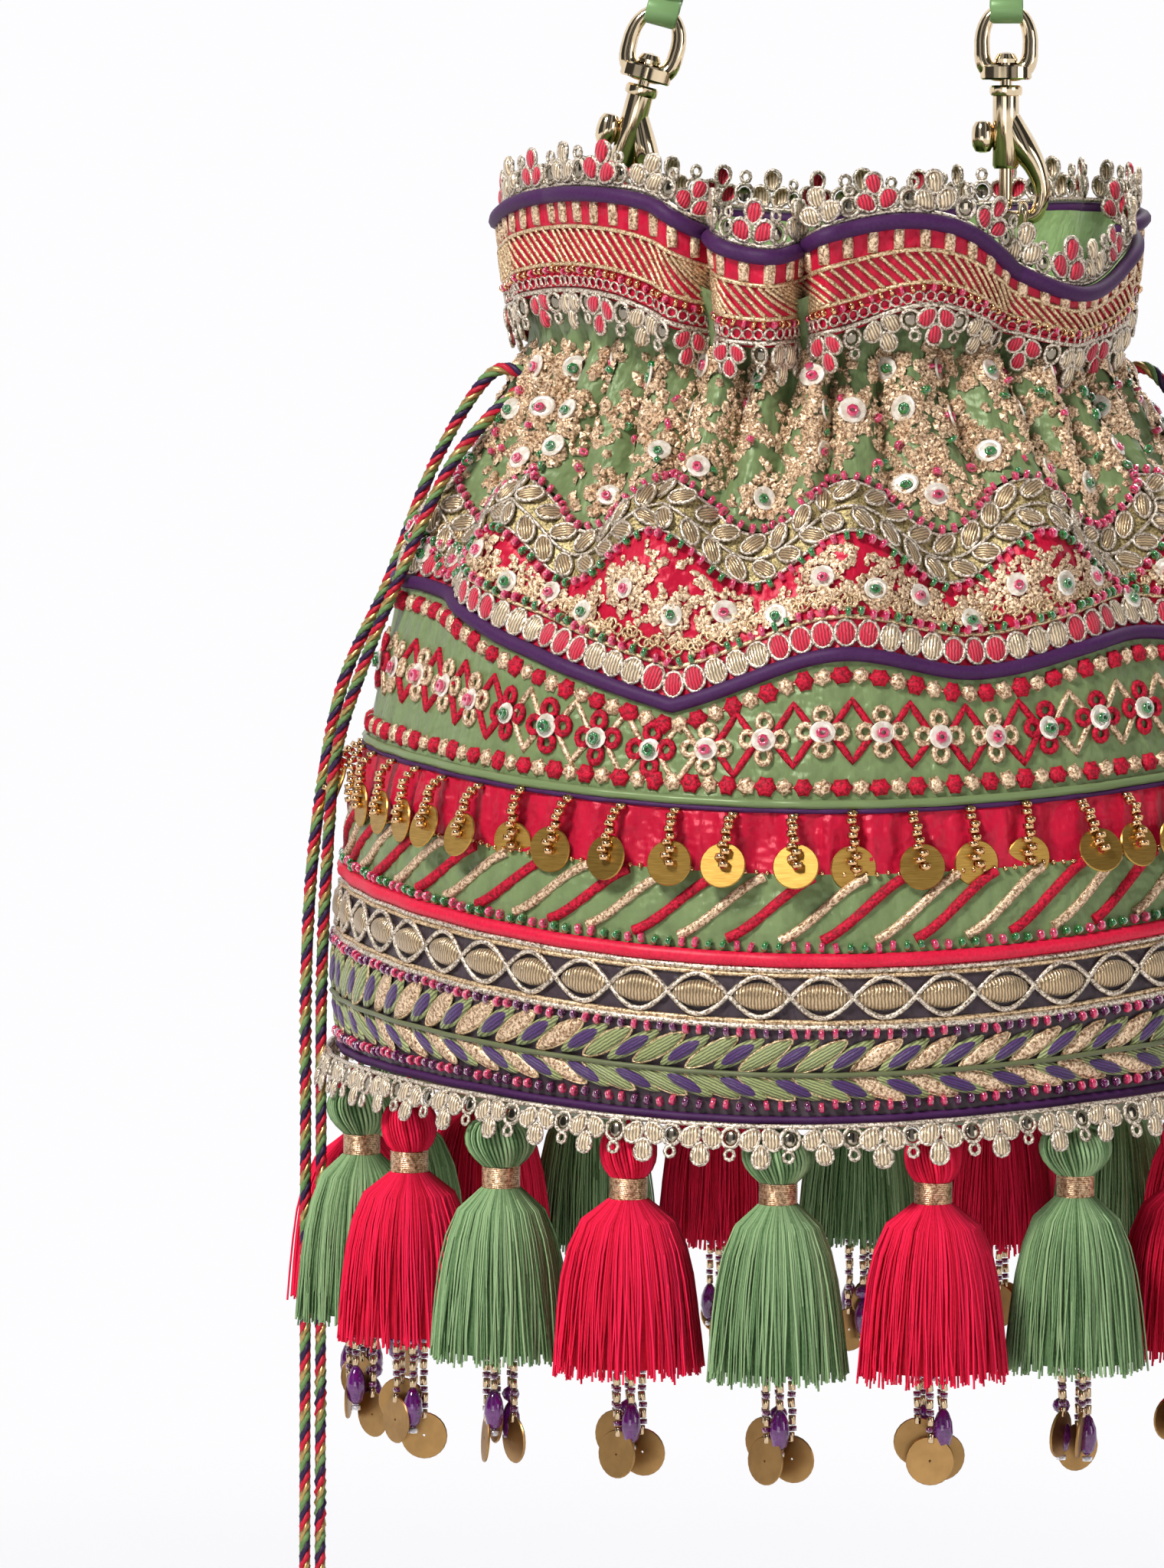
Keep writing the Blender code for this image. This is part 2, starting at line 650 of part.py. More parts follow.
def eye_mesh():
    points = loop_points(EYE_HALF, (BLOCK_LOW + BLOCK_HIGH) / 2, EYE_TOP, EYE_CORNER)
    wire = tube(points, EYE_WIRE, cyclic=True)
    block = cylinder(BLOCK_RADIUS, BLOCK_HIGH - BLOCK_LOW, (0, 0, (BLOCK_HIGH + BLOCK_LOW) / 2), sides=16)
    bore = cylinder(PIN_RADIUS + GAP, BLOCK_HIGH * 0.35, (0, 0, (BLOCK_HIGH + BLOCK_LOW) / 2), sides=12)
    return combine(combine(block, [wire], "UNION"), [bore], "DIFFERENCE")


def ring_mesh():
    """A four-sided wire ring in the YZ plane, with its low bar on the origin."""
    corner = RING_WIRE * 2
    high = RING_HEIGHT
    points = []
    for y, z, start in ((RING_TOP_HALF - corner, high - corner, 0), (-RING_TOP_HALF + corner, high - corner, 90),
                        (-RING_LOW_HALF + corner * 0.5, corner * 0.5, 180),
                        (RING_LOW_HALF - corner * 0.5, corner * 0.5, 270)):
        size = corner if z > corner else corner * 0.5
        for step in range(4):
            angle = math.radians(start + 90 * step / 3)
            points.append((0, y + size * math.cos(angle), z + size * math.sin(angle)))
    return tube(points, RING_WIRE, cyclic=True)


def hook_place(side):
    """The frame of a hook: its shank axis, with z=0 at the J's low wire."""
    lean = math.radians(LEAN_LEFT if side < 0 else 0.0)
    pivot = Vector((side * RING_X, 0, -STRAP_RISE - AXIS_DEPTH))
    return Matrix.Translation(pivot) @ Matrix.Rotation(lean, 4, "Y") @ Matrix.Translation((SHANK_X, 0, 0))


def build_hardware(mats):
    hook, bolt, eye, ring = hook_mesh(), bolt_mesh(), eye_mesh(), ring_mesh()
    for side, word in ((-1, "left"), (1, "right")):
        place = hook_place(side)
        for name, mesh in (("hook", hook), ("bolt", bolt), ("eye", eye)):
            item = make_object(f"{name}_{word}", mesh.copy(), mats["polished"])
            item.matrix_world = place
        ring_low = J_WIRE + RING_WIRE + GAP - RING_HEIGHT
        ring_obj = make_object(f"ring_{word}", ring.copy(), mats["polished"])
        ring_obj.location = (side * RING_X, 0, -STRAP_RISE - AXIS_DEPTH + ring_low)
        build_tab(word, side, ring_low, mats)


def build_tab(word, side, ring_low, mats):
    """A folded strip round the ring's low bar, sewn to the lining below."""
    x = side * RING_X
    z = -STRAP_RISE - AXIS_DEPTH + ring_low
    inner = RING_WIRE + GAP
    outer = inner + TAB_THICKNESS
    loop = cylinder(outer, TAB_WIDTH, (x, 0, z), "Y", sides=12)
    facet = TAB_WIDTH / 2 * math.tan(2 * math.pi / SEGMENTS)
    wall = lining_radius(TAB_RUN_DEPTH, side * 90) - LINING_CLOTH - facet
    start = Vector((x, 0, z))
    end = Vector((side * (wall - GAP), 0, -STRAP_RISE - TAB_RUN_DEPTH))
    run = end - start
    angle = math.atan2(-run.z, abs(run.x))
    turn = Matrix.Rotation(angle if side > 0 else math.pi - angle, 4, "Y")
    strip = box((run.length, TAB_WIDTH, TAB_THICKNESS * 1.6), start + run * 0.5, turn)
    bore = cylinder(inner, TAB_WIDTH * 2, (x, 0, z), "Y", sides=12)
    make_object(f"tab_{word}", combine(combine(loop, [strip], "UNION"), [bore], "DIFFERENCE"), mats["green"])


def build_strap(mats):
    """A soft tube over the top, with a sewn loop round each eye's top bar."""
    ends = {side: hook_place(side) @ Vector((0, 0, EYE_TOP)) for side in (-1, 1)}
    axes = {side: hook_place(side).to_3x3() @ Vector((0, 0, 1)) for side in (-1, 1)}
    loop_inner = EYE_WIRE + GAP * 1.5
    loop_outer = loop_inner + STRAP_LOOP_WALL
    start = {side: ends[side] + axes[side] * (EYE_WIRE + GAP * 3) for side in (-1, 1)}
    arch = [Vector((x, 0, z - STRAP_RADIUS)) for x, z in STRAP_ARCH]
    left = [start[-1], start[-1] + axes[-1] * STRAP_LEG]
    right = [start[1] + axes[1] * STRAP_LEG, start[1]]
    route = left + arch + right
    core = tube(smooth_path(route, 24), STRAP_RADIUS)
    loops, bores = [], []
    for side in (-1, 1):
        matrix = Matrix.Translation(ends[side]) @ hook_place(side).to_3x3().to_4x4()
        sleeve = cylinder(loop_outer, STRAP_LOOP_WIDTH, (0, 0, 0), "X", sides=16)
        bore = cylinder(loop_inner, STRAP_LOOP_WIDTH * 2, (0, 0, 0), "X", sides=16)
        sleeve.transform(matrix)
        bore.transform(matrix)
        loops.append(sleeve)
        bores.append(bore)
    solid = combine(combine(core, loops, "UNION"), bores, "DIFFERENCE")
    make_object("strap", solid, mats["strap"])


def build_cords(mats):
    for word, turn in (("left", 0.0), ("right", 180.0)):
        for part, route in (("outer", OUTER_ROUTE), ("inner", INNER_ROUTE)):
            points = [spot(radius, degrees + turn, depth) for degrees, radius, depth in route]
            mesh = tube(smooth_path(points, CORD_POINTS), CORD_RADIUS)
            make_object(f"cord_{word}_{part}", mesh, mats["cord"])
        radius = (OUTER_ROUTE[-1][1] + INNER_ROUTE[-1][1]) / 2
        depth = OUTER_ROUTE[-1][2] + GAP + KNOT_LENGTH / 2
        bm = bmesh.new()
        bmesh.ops.create_uvsphere(bm, u_segments=10, v_segments=6, radius=KNOT_RADIUS)
        stretch = Matrix.Diagonal((1, 1, KNOT_LENGTH / 2 / KNOT_RADIUS, 1))
        place = Matrix.Translation(spot(radius, CORD_SIDE + turn, depth))
        bmesh.ops.transform(bm, matrix=place @ stretch, verts=bm.verts)
        make_object(f"knot_{word}", mesh_from(bm), mats["cord"])


def build():
    global collection
    clear_scene()
    collection = bpy.data.collections.new("potli_bag")
    bpy.context.scene.collection.children.link(collection)
    mats = {
        "green": material("sage_satin", (0.22, 0.38, 0.15), 0.4),
        "lining": material("lining_satin", (0.30, 0.48, 0.20), 0.5),
        "red": material("crimson_satin", (0.72, 0.02, 0.08), 0.4),
        "gold": material("gold_braid", (0.45, 0.33, 0.16), 0.5, 0.6),
        "purple": material("purple_piping", (0.06, 0.01, 0.15), 0.5),
        "lace": material("gold_lace", (0.55, 0.45, 0.30), 0.45, 0.6),
        "brass": material("brass_disc", (0.38, 0.24, 0.07), 0.35, 1.0),
        "polished": material("polished_gold", (0.75, 0.60, 0.38), 0.12, 1.0),
        "strap": material("strap_satin", (0.20, 0.35, 0.13), 0.45),
        "cord": material("cord_yarn", (0.30, 0.05, 0.10), 0.6),
        "yarn_green": material("green_yarn", (0.14, 0.29, 0.12), 0.8),
    }
    build_body(mats)
    build_lining(mats)
    build_laces(mats)
    build_fringe(mats)
    build_tassels(mats)
    build_hardware(mats)
    build_strap(mats)
    build_cords(mats)


build()
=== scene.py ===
import math

import bmesh
import bpy
import numpy as np
from mathutils import Matrix, Vector


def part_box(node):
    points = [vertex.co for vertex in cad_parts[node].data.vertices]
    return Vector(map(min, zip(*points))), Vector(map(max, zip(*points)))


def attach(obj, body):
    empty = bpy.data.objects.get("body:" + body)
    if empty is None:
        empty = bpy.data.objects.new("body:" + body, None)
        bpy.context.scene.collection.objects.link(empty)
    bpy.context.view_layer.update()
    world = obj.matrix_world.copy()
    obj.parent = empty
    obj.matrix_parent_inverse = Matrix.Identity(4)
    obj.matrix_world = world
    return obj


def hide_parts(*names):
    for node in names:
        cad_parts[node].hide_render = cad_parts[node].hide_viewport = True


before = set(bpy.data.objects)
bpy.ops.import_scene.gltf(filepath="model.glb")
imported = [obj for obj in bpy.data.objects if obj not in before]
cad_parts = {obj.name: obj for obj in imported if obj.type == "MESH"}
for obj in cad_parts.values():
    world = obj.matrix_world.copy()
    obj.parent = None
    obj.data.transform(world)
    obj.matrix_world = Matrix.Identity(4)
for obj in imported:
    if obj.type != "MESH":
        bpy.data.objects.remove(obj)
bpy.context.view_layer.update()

# The bag hangs from its strap, so every height is measured down from the mouth's level, and every
# angle round it from the front, positive to the right. The camera stands level with the mouth.
MOUTH_Z = -0.190
CAMERA_BACK = 1.75
PHOTO_WIDTH, PHOTO_HEIGHT = 1520, 2048
AXIS_PIXEL, HORIZON_PIXEL = 1075, 250
MM_PER_PIXEL = 0.178
SENSOR = 36.0

camera_data = bpy.data.cameras.new("camera")
camera_data.sensor_fit = "VERTICAL"
camera_data.sensor_height = SENSOR
camera_data.lens = SENSOR * CAMERA_BACK * 1000 / (PHOTO_HEIGHT * MM_PER_PIXEL)
camera = bpy.data.objects.new("camera", camera_data)
bpy.context.scene.collection.objects.link(camera)
camera.location = (0, -CAMERA_BACK, MOUTH_Z)
aim = Vector(((PHOTO_WIDTH / 2 - AXIS_PIXEL) * MM_PER_PIXEL / 1000, 0,
              MOUTH_Z - (PHOTO_HEIGHT / 2 - HORIZON_PIXEL) * MM_PER_PIXEL / 1000))
camera.rotation_euler = (aim - camera.location).to_track_quat("-Z", "Y").to_euler()
bpy.context.scene.camera = camera
bpy.context.scene.view_settings.view_transform = "Standard"


def spot(radius, degrees, depth):
    angle = math.radians(degrees)
    return Vector((radius * math.sin(angle), -radius * math.cos(angle), MOUTH_Z - depth))


def put(name, mesh, material, body, *nodes, slot=None):
    """A finished piece in the scene, riding on its body and standing for its nodes."""
    piece = bpy.data.objects.new(name, mesh)
    bpy.context.scene.collection.objects.link(piece)
    if material is not None:
        for each in material if isinstance(material, (list, tuple)) else [material]:
            piece.data.materials.append(each)
    if nodes:
        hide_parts(*nodes)
    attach(piece, body)
    return piece


def shader(name, colour, roughness=0.6, metallic=0.0, **more):
    """A Principled material, with its nodes and its shader returned for more work."""
    material = bpy.data.materials.new(name)
    material.use_nodes = True
    nodes = material.node_tree.nodes
    principled = nodes["Principled BSDF"]
    principled.inputs["Base Color"].default_value = (*colour, 1)
    principled.inputs["Roughness"].default_value = roughness
    principled.inputs["Metallic"].default_value = metallic
    for socket, value in more.items():
        principled.inputs[socket.replace("_", " ")].default_value = value
    return material, nodes, principled


def wire(material, source, target):
    material.node_tree.links.new(source, target)


def add_node(nodes, kind, **settings):
    """A new node. A setting is a property of the node, the value of an input, or the socket that feeds it."""
    made = nodes.new(kind)
    for key, value in settings.items():
        if hasattr(made, key):
            setattr(made, key, value)
            continue
        socket = made.inputs[int(key[3:]) if key.startswith("in_") else key.replace("_", " ")]
        if isinstance(value, bpy.types.NodeSocket):
            made.id_data.links.new(value, socket)
        else:
            socket.default_value = value
    return made


def srgb(red, green, blue):
    """A colour as the photograph's eye names it, turned to the renderer's own light values."""
    return tuple(((v / 255 + 0.055) / 1.055) ** 2.4 if v > 10 else v / 255 / 12.92 for v in (red, green, blue))


# The drawcords: four free ends of a soft four-ply twist in crimson, dark purple, sage and gold. They
# leave the gathered neck in two pairs, lie over the shoulder and hang at the sides to a knot.
CORD_RADIUS = 0.00155
PLY_PITCH = 0.0094
OUTER_ROUTE = (
    (-82.0, 0.0692, 0.0415), (-84.0, 0.0778, 0.0425), (-85.0, 0.0900, 0.0620),
    (-85.5, 0.1010, 0.0900), (-86.0, 0.1120, 0.1150), (-86.0, 0.1180, 0.1480),
    (-86.0, 0.1203, 0.1800), (-86.0, 0.1206, 0.2200), (-86.0, 0.1208, 0.2600),
    (-86.0, 0.1210, 0.3000), (-86.0, 0.1212, 0.3400),
)
INNER_ROUTE = (
    (-75.0, 0.0705, 0.0440), (-73.0, 0.0805, 0.0520), (-72.0, 0.0905, 0.0640),
    (-73.0, 0.1005, 0.0860), (-76.0, 0.1085, 0.1080), (-80.0, 0.1138, 0.1290),
    (-84.0, 0.1156, 0.1560), (-86.0, 0.1168, 0.1850), (-86.0, 0.1170, 0.2200),
    (-86.0, 0.1172, 0.2600), (-86.0, 0.1174, 0.3000), (-86.0, 0.1176, 0.3400),
)


def hermite(points, at):
    """A smooth value at a place along sorted points of place and value."""
    index = max(0, min(len(points) - 2, sum(1 for place, _ in points[1:] if place <= at)))
    before = points[max(index - 1, 0)]
    start, end = points[index], points[index + 1]
    after = points[min(index + 2, len(points) - 1)]
    span = end[0] - start[0]
    rise_in = (end[1] - before[1]) / (end[0] - before[0])
    rise_out = (after[1] - start[1]) / (after[0] - start[0])
    t = (at - start[0]) / span
    return (
        (2 * t**3 - 3 * t**2 + 1) * start[1]
        + (t**3 - 2 * t**2 + t) * span * rise_in
        + (3 * t**2 - 2 * t**3) * end[1]
        + (t**3 - t**2) * span * rise_out
    )


def smooth_path(points, count):
    numbered = [[(index, point[axis]) for index, point in enumerate(points)] for axis in range(3)]
    steps = [index * (len(points) - 1) / (count - 1) for index in range(count)]
    return [Vector([hermite(axis, step) for axis in numbered]) for step in steps]


def path_frames(path):
    """Two directions square to the path at each point, carried along it without twist."""
    frames = []
    side = Vector((1, 0, 0))
    for index in range(len(path)):
        ahead = (path[min(index + 1, len(path) - 1)] - path[max(index - 1, 0)]).normalized()
        side = side - ahead * side.dot(ahead)
        if side.length < 0.01:
            side = Vector((0, 1, 0)) - ahead * ahead.y
        side.normalize()
        frames.append((side.copy(), ahead.cross(side)))
    return frames


def tube_faces(rings, sides, start, closed=False):
    """Quads, and end caps, for rings of points already listed one after another."""
    faces = []
    for ring in range(rings if closed else rings - 1):
        for side in range(sides):
            after = (side + 1) % sides
            low, high = start + ring * sides, start + (ring + 1) % rings * sides
            faces.append((low + side, low + after, high + after, high + side))
    if not closed:
        faces.append(tuple(start + side for side in reversed(range(sides))))
        faces.append(tuple(start + (rings - 1) * sides + side for side in range(sides)))
    return faces


def mesh_of(points, faces, smooth=True, slots=None, uvs=None):
    mesh = bpy.data.meshes.new("mesh")
    mesh.from_pydata([tuple(p) for p in points], [], faces)
    if slots is not None:
        mesh.polygons.foreach_set("material_index", slots)
    if uvs is not None:
        layer = mesh.uv_layers.new(name="cloth")
        index = np.empty(len(mesh.loops), dtype=np.int32)
        mesh.loops.foreach_get("vertex_index", index)
        layer.data.foreach_set("uv", np.asarray(uvs, dtype=np.float32)[index].ravel())
    if smooth:
        mesh.shade_smooth()
    mesh.update()
    return mesh


def twisted(path, radius, pitch, plies=4, sides=7):
    """A rope of round plies laid round its own path, one material slot a ply."""
    frames = path_frames(path)
    ply = radius * 0.56
    points, faces, slots = [], [], []
    for number in range(plies):
        start = len(points)
        run = 0.0
        for index, centre in enumerate(path):
            if index:
                run += (centre - path[index - 1]).length
            turn = 2 * math.pi * (run / pitch + number / plies)
            across, over = frames[index]
            middle = centre + (across * math.cos(turn) + over * math.sin(turn)) * (radius - ply)
            for side in range(sides):
                angle = 2 * math.pi * side / sides + turn
                points.append(middle + (across * math.cos(angle) + over * math.sin(angle)) * ply)
        added = tube_faces(len(path), sides, start)
        faces += added
        slots += [number] * len(added)
    return mesh_of(points, faces, slots=slots)


def yarn_material(name, colour, scale=900.0, shine=0.5, metallic=0.0):
    """Fine parallel fibres along a ply, with a little colour change from fibre to fibre."""
    material, nodes, principled = shader(name, colour, shine, metallic, Specular_IOR_Level=0.3)
    place = add_node(nodes, "ShaderNodeTexCoord")
    noise = add_node(nodes, "ShaderNodeTexNoise", Scale=scale, Detail=3, Vector=place.outputs["Object"])
    tint = add_node(nodes, "ShaderNodeMix", data_type="RGBA", A=(*[c * 0.55 for c in colour], 1),
                    B=(*[min(c * 1.25 + 0.01, 1) for c in colour], 1), Factor=noise.outputs["Fac"])
    wire(material, tint.outputs["Result"], principled.inputs["Base Color"])
    bump = add_node(nodes, "ShaderNodeBump", Strength=0.35, Distance=0.0002, Height=noise.outputs["Fac"])
    wire(material, bump.outputs["Normal"], principled.inputs["Normal"])
    return material


ply_materials = [
    yarn_material("cord_crimson", srgb(196, 16, 46)),
    yarn_material("cord_purple", srgb(44, 16, 62)),
    yarn_material("cord_sage", srgb(104, 138, 80)),
    yarn_material("cord_gold", srgb(190, 160, 100), shine=0.35, metallic=0.7),
]
KNOT_LENGTH = 0.011
for word, turned in (("left", 0.0), ("right", 180.0)):
    knot_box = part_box(f"knot_{word}")
    middle = (Vector(knot_box[0]) + Vector(knot_box[1])) / 2
    wraps = []
    for step in range(61):
        turn = 2 * math.pi * 3.2 * step / 60
        rise = (step / 60 - 0.5) * (KNOT_LENGTH - CORD_RADIUS * 2.2)
        swell = 0.0026 * (1 - 0.25 * abs(2 * step / 60 - 1) ** 2)
        wraps.append(middle + Vector((swell * math.cos(turn), swell * math.sin(turn), rise)))
    knot = put(f"cord_knot_{word}", twisted(wraps, CORD_RADIUS, PLY_PITCH), ply_materials, "bag",
               f"knot_{word}", slot="cord_yarn")
    for part, route in (("outer", OUTER_ROUTE), ("inner", INNER_ROUTE)):
        path = smooth_path([spot(radius, degrees + turned, depth) for degrees, radius, depth in route], 170)
        piece = put(f"drawcord_{word}_{part}", twisted(path, CORD_RADIUS, PLY_PITCH), ply_materials, "bag",
                    f"cord_{word}_{part}", slot="cord_yarn")

# The stage: a seamless pale sweep behind and below, and broad soft lamps at a plain level.
FLOOR_Z = -0.62
PALE_GROUND = (0.985, 0.98, 0.995, 1)
BEND_START, BEND_RADIUS, SWEEP_TOP, SWEEP_HALF = 2.6, 1.6, 6.0, 7.0
backdrop_material, nodes, principled = shader("pale_sweep", (0.93, 0.925, 0.95), 0.95)
glow = add_node(nodes, "ShaderNodeEmission", Color=PALE_GROUND)
ray = add_node(nodes, "ShaderNodeLightPath")
seen = add_node(nodes, "ShaderNodeMath", operation="MAXIMUM",
                in_0=ray.outputs["Is Camera Ray"], in_1=ray.outputs["Is Transmission Ray"])
either = add_node(nodes, "ShaderNodeMath", operation="MAXIMUM",
                  in_0=seen.outputs[0], in_1=ray.outputs["Is Glossy Ray"])
# Near the bag the floor is plain and keeps the shadow; farther out it glows as pale as the backdrop.
where = add_node(nodes, "ShaderNodeTexCoord")
level = add_node(nodes, "ShaderNodeVectorMath", operation="MULTIPLY", in_0=where.outputs["Object"], in_1=(1, 1, 0))
reach_out = add_node(nodes, "ShaderNodeVectorMath", operation="LENGTH", in_0=level.outputs["Vector"])
fade = add_node(nodes, "ShaderNodeMapRange", interpolation_type="SMOOTHSTEP",
                From_Min=0.45, From_Max=0.85, Value=reach_out.outputs["Value"])
faded = add_node(nodes, "ShaderNodeMath", operation="MULTIPLY", in_0=either.outputs[0], in_1=fade.outputs["Result"])
blend_sweep = add_node(nodes, "ShaderNodeMixShader",
                       Fac=faded.outputs[0], in_1=principled.outputs[0], in_2=glow.outputs[0])
wire(backdrop_material, blend_sweep.outputs[0], nodes["Material Output"].inputs["Surface"])
sweep_line = [(-5.0, FLOOR_Z), (BEND_START, FLOOR_Z)]
for step in range(1, 7):
    bend = math.radians(15 * step)
    sweep_line.append((BEND_START + BEND_RADIUS * math.sin(bend), FLOOR_Z + BEND_RADIUS * (1 - math.cos(bend))))
sweep_line.append((BEND_START + BEND_RADIUS, SWEEP_TOP))
sweep_points = [(x, y, z) for y, z in sweep_line for x in (-SWEEP_HALF, SWEEP_HALF)]
sweep = bpy.data.objects.new("sweep", mesh_of(
    sweep_points, [(2 * k, 2 * k + 1, 2 * k + 3, 2 * k + 2) for k in range(len(sweep_line) - 1)]))
sweep.data.materials.append(backdrop_material)
bpy.context.scene.collection.objects.link(sweep)

world = bpy.data.worlds.new("studio")
bpy.context.scene.world = world
world.use_nodes = True
world_nodes = world.node_tree.nodes
way = add_node(world_nodes, "ShaderNodeTexCoord")
split = add_node(world_nodes, "ShaderNodeSeparateXYZ", Vector=way.outputs["Generated"])
shift = add_node(world_nodes, "ShaderNodeMath", operation="MULTIPLY_ADD",
                 in_0=split.outputs["X"], in_1=0.5, in_2=0.5)
boxes = add_node(world_nodes, "ShaderNodeValToRGB", Fac=shift.outputs[0])
sky = world_nodes["Background"]
sky.inputs["Strength"].default_value = 0.42
world.node_tree.links.new(boxes.outputs["Color"], sky.inputs["Color"])
# Camera rays meet the pale background all round. Mirrored and refracted rays meet it behind the bag
# only, and the darker half of the room in front of it.
pale = add_node(world_nodes, "ShaderNodeBackground", Color=PALE_GROUND)
paths = add_node(world_nodes, "ShaderNodeLightPath")
bent = add_node(world_nodes, "ShaderNodeMath", operation="MAXIMUM",
                in_0=paths.outputs["Is Glossy Ray"], in_1=paths.outputs["Is Transmission Ray"])
behind = add_node(world_nodes, "ShaderNodeMath", operation="GREATER_THAN", in_0=split.outputs["Y"], in_1=0.1)
both = add_node(world_nodes, "ShaderNodeMath", operation="MULTIPLY", in_0=bent.outputs[0], in_1=behind.outputs[0])
shown = add_node(world_nodes, "ShaderNodeMath", operation="MAXIMUM",
                 in_0=both.outputs[0], in_1=paths.outputs["Is Camera Ray"])
room = add_node(world_nodes, "ShaderNodeMixShader",
                Fac=shown.outputs[0], in_1=sky.outputs[0], in_2=pale.outputs[0])
world.node_tree.links.new(room.outputs[0], world_nodes["World Output"].inputs["Surface"])
bands = ((0.0, 0.12), (0.14, 0.12), (0.18, 1.0), (0.33, 1.0), (0.37, 0.06), (0.44, 0.06), (0.47, 0.42),
         (0.55, 0.30),
         (0.58, 0.05), (0.64, 0.06), (0.67, 0.85), (0.78, 0.85), (0.82, 0.08), (1.0, 0.12))
for index, (at, level) in enumerate(bands):
    stop = boxes.color_ramp.elements[index] if index < 2 else boxes.color_ramp.elements.new(at)
    stop.position, stop.color = at, (level, level, level * 1.03, 1)
for name, energy, size, place, target in (
    ("key", 62.0, 0.55, (-1.05, -1.45, 1.35), (0, 0, -0.3)),
    ("fill", 7.0, 0.9, (1.8, -1.3, 0.0), (0, 0, -0.3)),
    ("low", 4.0, 0.8, (-0.3, -1.6, -0.55), (0, 0, -0.38)),
    ("back", 20.0, 1.0, (0.7, 1.5, 1.3), (0, 0, -0.25)),
):
    lamp_data = bpy.data.lights.new(name, "AREA")
    lamp_data.energy = energy
    lamp_data.size = size
    lamp = bpy.data.objects.new(name, lamp_data)
    lamp.location = place
    lamp.rotation_euler = (Vector(target) - Vector(place)).to_track_quat("-Z", "Y").to_euler()
    bpy.context.scene.collection.objects.link(lamp)

# The cloth body: satin tiers sewn end to end over a lining, gathered hard at the neck and falling
# in soft folds at the collar. Each tier is its own strip, with its seam line at the real height.
RIM_RADIUS = 0.0735
NECK_RADIUS = 0.0665
SHOULDER_RADIUS = 0.094
SWELL_RADIUS = 0.1055
BELLY_RADIUS = 0.113
HEM_RADIUS = 0.112
CINCH_DEPTH = 0.041
SHOULDER_DEPTH = 0.086
SWELL_DEPTH = 0.125
BELLY_DEPTH = 0.175
HEM_DEPTH = 0.197
FOLD = 0.0035
PROFILE = (
    (0.0, RIM_RADIUS), (CINCH_DEPTH / 2, (RIM_RADIUS + NECK_RADIUS) / 2 + FOLD / 4),
    (CINCH_DEPTH, NECK_RADIUS), (SHOULDER_DEPTH, SHOULDER_RADIUS), (SWELL_DEPTH, SWELL_RADIUS),
    (BELLY_DEPTH, BELLY_RADIUS), (HEM_DEPTH, HEM_RADIUS),
)
RIM_POINTS = (
    (-90, 0.007), (-62, 0.0015), (-44, 0.0005), (-30, 0.003), (-20, 0.0105), (-8, 0.0145),
    (1, 0.0095), (14, 0.0065), (25, 0.009), (38, 0.019), (50, 0.023), (62, 0.020),
    (78, 0.011), (95, 0.006), (130, 0.004), (180, 0.007), (225, 0.003),
)
WAVE_POINTS = (
    (-90, 0.089), (-62, 0.0915), (-40, 0.102), (-18, 0.1095), (2, 0.101), (20, 0.1055),
    (44, 0.098), (66, 0.101), (90, 0.092), (120, 0.100), (150, 0.092), (180, 0.099),
    (210, 0.092), (240, 0.098),
)


def closed_curve(points, samples=720):
    """A smooth value for every half degree round the bag, from points of angle and value."""
    start = points[0][0]
    around = ((points[-1][0] - 360, points[-1][1]), *points,
              (start + 360, points[0][1]), (points[1][0] + 360, points[1][1]))
    return np.array([hermite(around, (i * 360 / samples - start) % 360 + start) for i in range(samples)])


def read_curve(table, degrees):
    at = np.asarray(degrees) % 360 * len(table) / 360
    low = np.floor(at).astype(int)
    part = at - low
    return table[low % len(table)] * (1 - part) + table[(low + 1) % len(table)] * part


rim_table = closed_curve(RIM_POINTS)
wave_table = closed_curve(WAVE_POINTS)
profile_table = np.array([hermite(PROFILE, min(i * 0.0005, HEM_DEPTH)) for i in range(440)])


def sag(a):
    return np.maximum(0.0, np.cos(np.radians(a))) ** 2


def rim(a):
    return read_curve(rim_table, a)


def scallop(a):
    return 0.0685 - 0.006 * np.cos(np.radians(13 * (np.asarray(a) - 4.0)))


def wave(a):
    """The wave of the purple piping, which comes to a sharp corner left of the middle."""
    corner_angle, corner_depth, corner_width = -19, 0.0034, 6
    off = np.abs((np.asarray(a) - corner_angle + 180) % 360 - 180)
    return read_curve(wave_table, a) + corner_depth * np.exp(-off / corner_width)


def diamond_low(a):
    return 0.1255 + 0.008 * sag(a)


def coin_low(a):
    return 0.1405 + 0.008 * sag(a)


def crimson_line(a):
    return 0.1565 + 0.011 * sag(a)


def hem(a):
    return 0.197 + 0.005 * np.maximum(0.0, np.cos(np.radians(np.asarray(a) + 5.0))) ** 5


def under(line, drop):
    return lambda a: line(a) + drop


